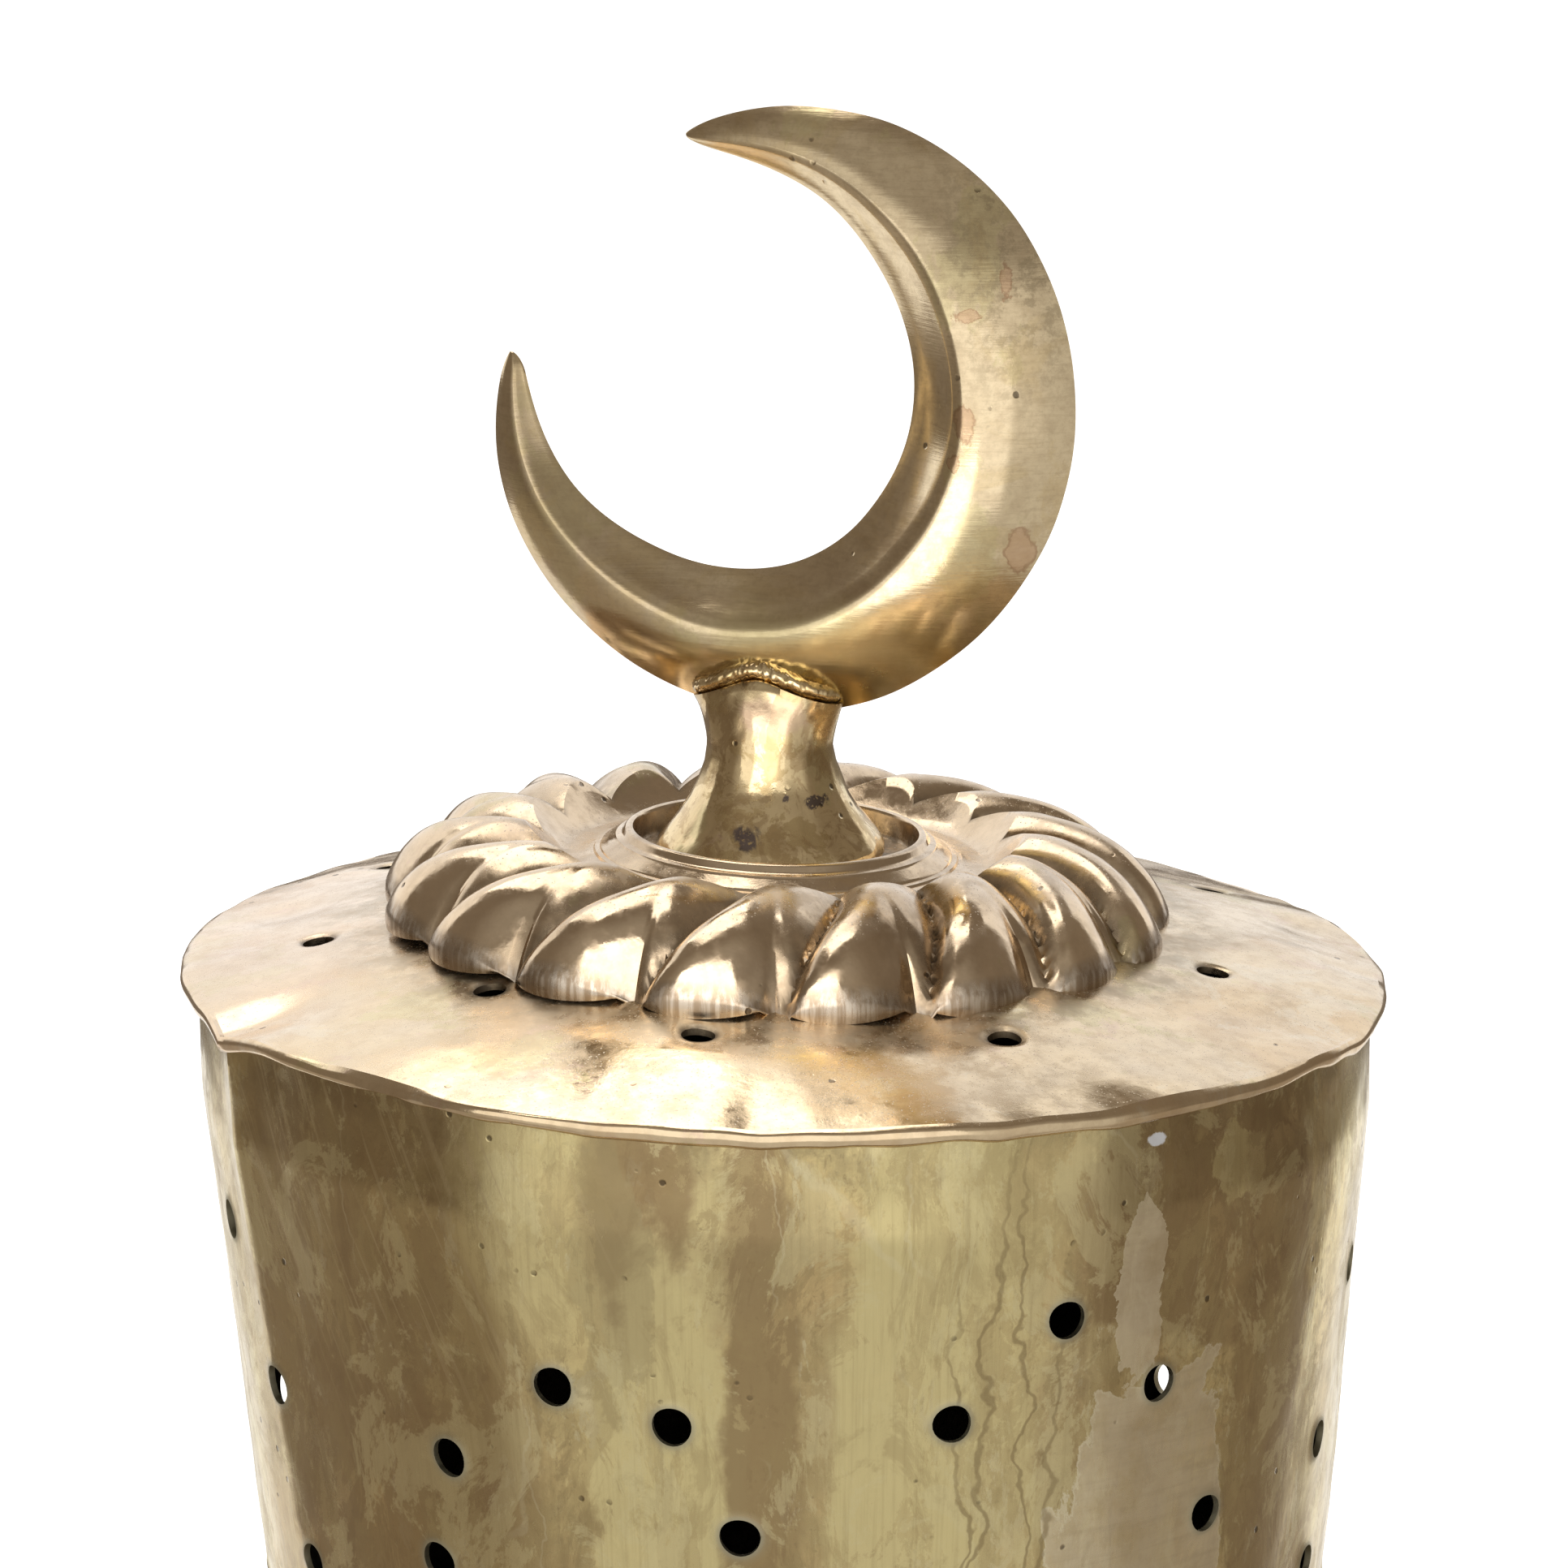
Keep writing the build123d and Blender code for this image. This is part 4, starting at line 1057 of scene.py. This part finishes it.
stem_brass = brass("stem_brass", (0.88, 0.70, 0.41, 1), brown=0.12, olive=0.2, pink=0.3, shine=0.07,
                   pits=0.9, beaten=1.1, glow=0.10, grime_and_shade="grime_and_shade", extra=stem_stains)
finish_piece(stem_mesh(), "hood", "cast_brass", [stem_brass], "finial_stem")


# ---- crescent -------------------------------------------------------------------------------
# The crescent is cast brass, filed to a ridge that runs from horn to horn. Its outer face is full and
# rounded, its inner face flat. It is brazed to the stem and is what the hood is lifted by.

MOON_X, MOON_Z = -0.5, 70.3  # middle of the crescent, across and over the rim
THICK_AT, HORN_AT = -39.5, 149.5  # where it is widest, and how far round from there a horn reaches
outer_edge = (35.2, 36.6, 38.2, 38.4, 38.1, 37.0, 37.6, 38.6, 37.3, 36.1, 35.2)
moon_width = (0.9, 3.9, 8.6, 14.6, 18.7, 20.5, 20.4, 17.7, 10.3, 4.4, 0.3)


def smooth_through(values, share):
    place = share * (len(values) - 1)
    k = min(int(place), len(values) - 2)
    t = place - k
    before, a = values[max(k - 1, 0)], values[k]
    b, after = values[k + 1], values[min(k + 2, len(values) - 1)]
    bend = (2 * before - 5 * a + 4 * b - after) * t**2 + (3 * a - before - 3 * b + after) * t**3
    return a + 0.5 * ((b - before) * t + bend)


def moon_section(share):
    """The section at a share of the way from the left horn to the upper one, as (out, thick) pairs."""
    outer = smooth_through(outer_edge, share)
    rounded = min(1.0, max(0.02, (share - 0.028) / 0.05))
    width = smooth_through(moon_width, share) * sqrt(1 - (1 - rounded) ** 2)
    inner = outer - width
    ridge = inner + 0.37 * width
    half = 0.33 * width
    outer_face = []
    for k in range(13):
        s = k / 12
        swell = half * (1 - (1 - s) ** 1.9)
        outer_face.append((outer - (outer - ridge) * s * 0.985, swell * (1 - 0.02 * s)))
    outer_face[0] = (outer, 0.0)
    inner_face = []
    for k in range(1, 9):
        s = k / 8
        flat = (1 - s) - 0.06 * sin(pi * s)
        inner_face.append((ridge - (ridge - inner) * (0.03 + 0.97 * s),
                           half * 0.975 * flat + 0.12 * s * (1 if k < 8 else 0)))
    front = outer_face + inner_face
    back = [(r, -n) for r, n in reversed(front[1:-1])]
    return front + back


def moon_spots(tree, where, colour, rough):
    """Greenish and amber tarnish, painted shade on the left limb, fine scratches and a few copper-coloured
    rings.
    """
    part = add_node(tree, "SeparateXYZ", {"Vector": where})
    rise = maths(tree, "SUBTRACT", part.outputs["Z"], (RIM + MOON_Z) * MM)
    face = add_node(tree, "CombineXYZ", {"X": part.outputs["X"], "Y": rise}).outputs["Vector"]
    green = maths(tree, "MULTIPLY", mark(tree, face, 28, -20, 9, 16, 0.6, 0.4),
                  patchy(tree, where, 480, 0.46, 0.60, 8, 0.72))
    colour = stain(tree, colour, green, 0.62, (0.42, 0.335, 0.21, 1))
    # Painted shade on the left limb.
    left_limb_shade = mark(tree, face, -25, 12, 14, 24, 0.5, 0.5)
    colour = stain(tree, colour, left_limb_shade, 0.40, (0.46, 0.34, 0.21, 1))
    amber = patchy(tree, where, 95, 0.50, 0.60, 9, 0.70, 0.5)
    colour = stain(tree, colour, amber, 0.35, (0.70, 0.53, 0.27, 1))
    fine = patchy(tree, where, 1300, 0.46, 0.66, 6, 0.7)
    colour = stain(tree, colour, fine, 0.18, (0.38, 0.28, 0.17, 1))
    rings = patchy(tree, stretched(tree, where, (240, 240, 1800)), 1.0, 0.50, 0.62, 4, 0.6)
    colour = stain(tree, colour, rings, 0.20, (0.50, 0.39, 0.24, 1))
    olive = mark(tree, face, 8, 30, 20, 6, 0.5, 0.7)
    colour = stain(tree, colour, olive, 0.55, (0.62, 0.53, 0.26, 1))
    copper_spots = (  # place across and down from the middle, and half sizes
        (21.6, -0.3, 1.1, 2.1), (28.6, 15.7, 1.9, 2.3), (26.6, -17.2, 0.7, 1.9), (21.9, -13.3, 1.5, 0.7),
        (20.4, 4.6, 0.7, 0.9),
    )
    for across, drop, wide, tall in copper_spots:
        spot = mark(tree, face, across, drop, wide, tall, 0.22, 1.2)
        ring = maths(tree, "MULTIPLY", spot, maths(tree, "SUBTRACT", 1.0, spot))
        colour = stain(tree, colour, spot, 0.60, (0.66, 0.42, 0.26, 1))
        colour = stain(tree, colour, ring, 2.0, (0.36, 0.19, 0.10, 1))
    return colour, duller(tree, rough, maths(tree, "ADD", green, olive), 0.08)


def moon_mesh():
    steps = 260
    points, loops = [], []
    for k in range(steps + 1):
        share = 0.03 + 0.97 * (k / steps) ** 1.1
        turn = radians(THICK_AT - HORN_AT * cos(pi * share))
        yaw = radians(YAW)
        loop = []
        for r, n in moon_section(share):
            spot = Vector((r * cos(turn), n, r * sin(turn)))
            r += 0.10 * noise.noise(spot / 9)
            n *= 1 + 0.05 * noise.noise(spot / 11 + Vector((4, 4, 4)))
            u, v = r * cos(turn), r * sin(turn)
            loop.append(len(points))
            points.append((MOON_X + u * cos(yaw) + n * sin(yaw), u * sin(yaw) - n * cos(yaw),
                           RIM + MOON_Z + v))
        loops.append(loop)
    faces = strips(loops) + [tuple(reversed(loops[0])), tuple(loops[-1])]
    moon = mesh_piece("horned_crescent", points, faces, 65)
    weld(moon)
    return moon


moon_brass = brass("moon_brass", (0.84, 0.69, 0.46, 1), brown=0.2, olive=0.25, pink=0.05, shine=0.12,
                   grain=(160, 160, 2600), pits=0.1, beaten=0.15, extra=moon_spots)
finish_piece(moon_mesh(), "hood", "cast_brass", [moon_brass], "crescent")


# ---- studio ---------------------------------------------------------------------------------
# A white floor, a white backdrop behind, a dimmer room in front and at the sides, and one soft lamp
# overhead. White cards are seen only in the brass: one low behind it, and two upright in front.

floor_mesh = bpy.data.meshes.new("floor")
far = 6.0  # metres from the middle to the floor's edges
floor_mesh.from_pydata([(-far, -far, 0), (far, -far, 0), (far, far, 0), (-far, far, 0)], [], [(0, 1, 2, 3)])
floor = bpy.data.objects.new("floor", floor_mesh)
bpy.context.scene.collection.objects.link(floor)
paper = bpy.data.materials.new("white_paper")
paper.use_nodes = True
paper_surface = paper.node_tree.nodes["Principled BSDF"]
paper_surface.inputs["Base Color"].default_value = (0.92, 0.92, 0.92, 1)
paper_surface.inputs["Roughness"].default_value = 0.9
paper_surface.inputs["Specular IOR Level"].default_value = 0.1
paper_surface.inputs["Emission Color"].default_value = (1, 1, 1, 1)
paper_surface.inputs["Emission Strength"].default_value = 0.8
floor.data.materials.append(paper)
floor.visible_glossy = False

scene = bpy.context.scene
world = bpy.data.worlds.new("studio")
scene.world = world
world.use_nodes = True
sky = world.node_tree
sky.nodes.clear()
way = add_node(sky, "SeparateXYZ", {"Vector": add_node(sky, "TexCoord").outputs["Generated"]})
aside = maths(sky, "DEGREES",
              maths(sky, "ARCTAN2", way.outputs["X"], maths(sky, "MULTIPLY", way.outputs["Y"], -1.0)))
aback = maths(sky, "ABSOLUTE", aside)
height = maths(sky, "DEGREES", maths(sky, "ARCSINE", way.outputs["Z"]))


def span(value, low, high, soft):
    """1 between two angles and 0 outside them, with soft ends."""
    rise = add_node(sky, "MapRange", {"Value": value, "From Min": low - soft, "From Max": low + soft},
                    interpolation_type="SMOOTHSTEP").outputs["Result"]
    fall = add_node(sky, "MapRange", {"Value": value, "From Min": high - soft, "From Max": high + soft,
                                      "To Min": 1.0, "To Max": 0.0},
                    interpolation_type="SMOOTHSTEP").outputs["Result"]
    return maths(sky, "MULTIPLY", rise, fall)


room = (0.21, 0.175, 0.14, 1)
# Which angle, its limits and softness, the limits upwards and their softness, and the colour. The last two
# are the white backdrop.
patches_of_room = (
    (aside, -200, 200, 1, -99, -48, 12, (0.52, 0.49, 0.44, 1)),
    (aback, 40, 150, 5, -60, -18, 5, (0.36, 0.315, 0.265, 1)),
    (aside, -56, 66, 12, -99, 26, 12, (0.60, 0.575, 0.53, 1)),
    (aside, -44, 40, 10, -19, 19, 6, (0.80, 0.77, 0.72, 1)),
    (aside, -60, 60, 25, 28, 66, 12, (0.36, 0.33, 0.29, 1)),
    (aside, 129, 200, 3, 0, 42, 2, (1.00, 1.00, 1.02, 1)),
    (aside, -200, -115, 3, 0, 42, 2, (1.10, 1.09, 1.09, 1)),
)
for value, left, right, soft, low, high, softer, shade in patches_of_room:
    share = maths(sky, "MULTIPLY", span(value, left, right, soft), span(height, low, high, softer))
    room = tint(sky, share, room, shade)
seen = add_node(sky, "LightPath").outputs["Is Camera Ray"]
room = tint(sky, seen, room, (1.0, 1.0, 1.0, 1))
light = add_node(sky, "Background", {"Color": room, "Strength": 1.0})
add_node(sky, "OutputWorld", {"Surface": light.outputs["Background"]})


def softbox(name, place, aim, size, power, colour=(1, 0.98, 0.95)):
    lamp = bpy.data.lights.new(name, "AREA")
    lamp.shape = "RECTANGLE"
    lamp.size, lamp.size_y = size
    lamp.energy = power
    lamp.color = colour
    holder = bpy.data.objects.new(name, lamp)
    holder.location = place
    holder.rotation_euler = (Vector(aim) - Vector(place)).to_track_quat("-Z", "Y").to_euler()
    scene.collection.objects.link(holder)


softbox("overhead", (-0.24, 0.54, 1.58), (0, 0, 0.2), (1.0, 1.4), 9.5)


def card(name, corners, strength):
    mesh = bpy.data.meshes.new(name)
    mesh.from_pydata([tuple(c * MM) for c in corners], [],
                     [(0, k, k + 1) for k in range(1, len(corners) - 1)])
    piece = bpy.data.objects.new(name, mesh)
    scene.collection.objects.link(piece)
    glow = bpy.data.materials.new(name)
    glow.use_nodes = True
    surface = glow.node_tree.nodes["Principled BSDF"]
    surface.inputs["Base Color"].default_value = (0, 0, 0, 1)
    surface.inputs["Emission Color"].default_value = (1.0, 0.98, 0.95, 1)
    surface.inputs["Emission Strength"].default_value = strength
    mesh.materials.append(glow)
    piece.visible_camera = False
    piece.visible_diffuse = False
    piece.visible_shadow = False


card("low_card", [Vector((0, 0, 1))] + [turn_to(azimuth, 620, 1) for azimuth in range(126, 246, 4)], 0.95)
upright_cards = (  # how far in front, left, right, low and high edges, and strength
    ("front_card", -165, -200, 85, 152, 275, 1.15),
    ("stem_card", -72, -40, 16, 190, 232, 2.6),
)
for name, y, left, right, low, high, strength in upright_cards:
    card(name, [Vector((x, y, z)) for x, z in ((left, low), (right, low), (right, high), (left, high))],
         strength)

camera_data = bpy.data.cameras.new("camera")
camera_data.lens = 142.6
camera_data.sensor_width = 36.0
camera = bpy.data.objects.new("camera", camera_data)
camera.location = (0, -0.750, (RIM + 198.2) * MM)
camera.rotation_euler = (radians(90 - 13.15), 0, 0)
scene.collection.objects.link(camera)
scene.camera = camera
scene.view_settings.view_transform = "Standard"
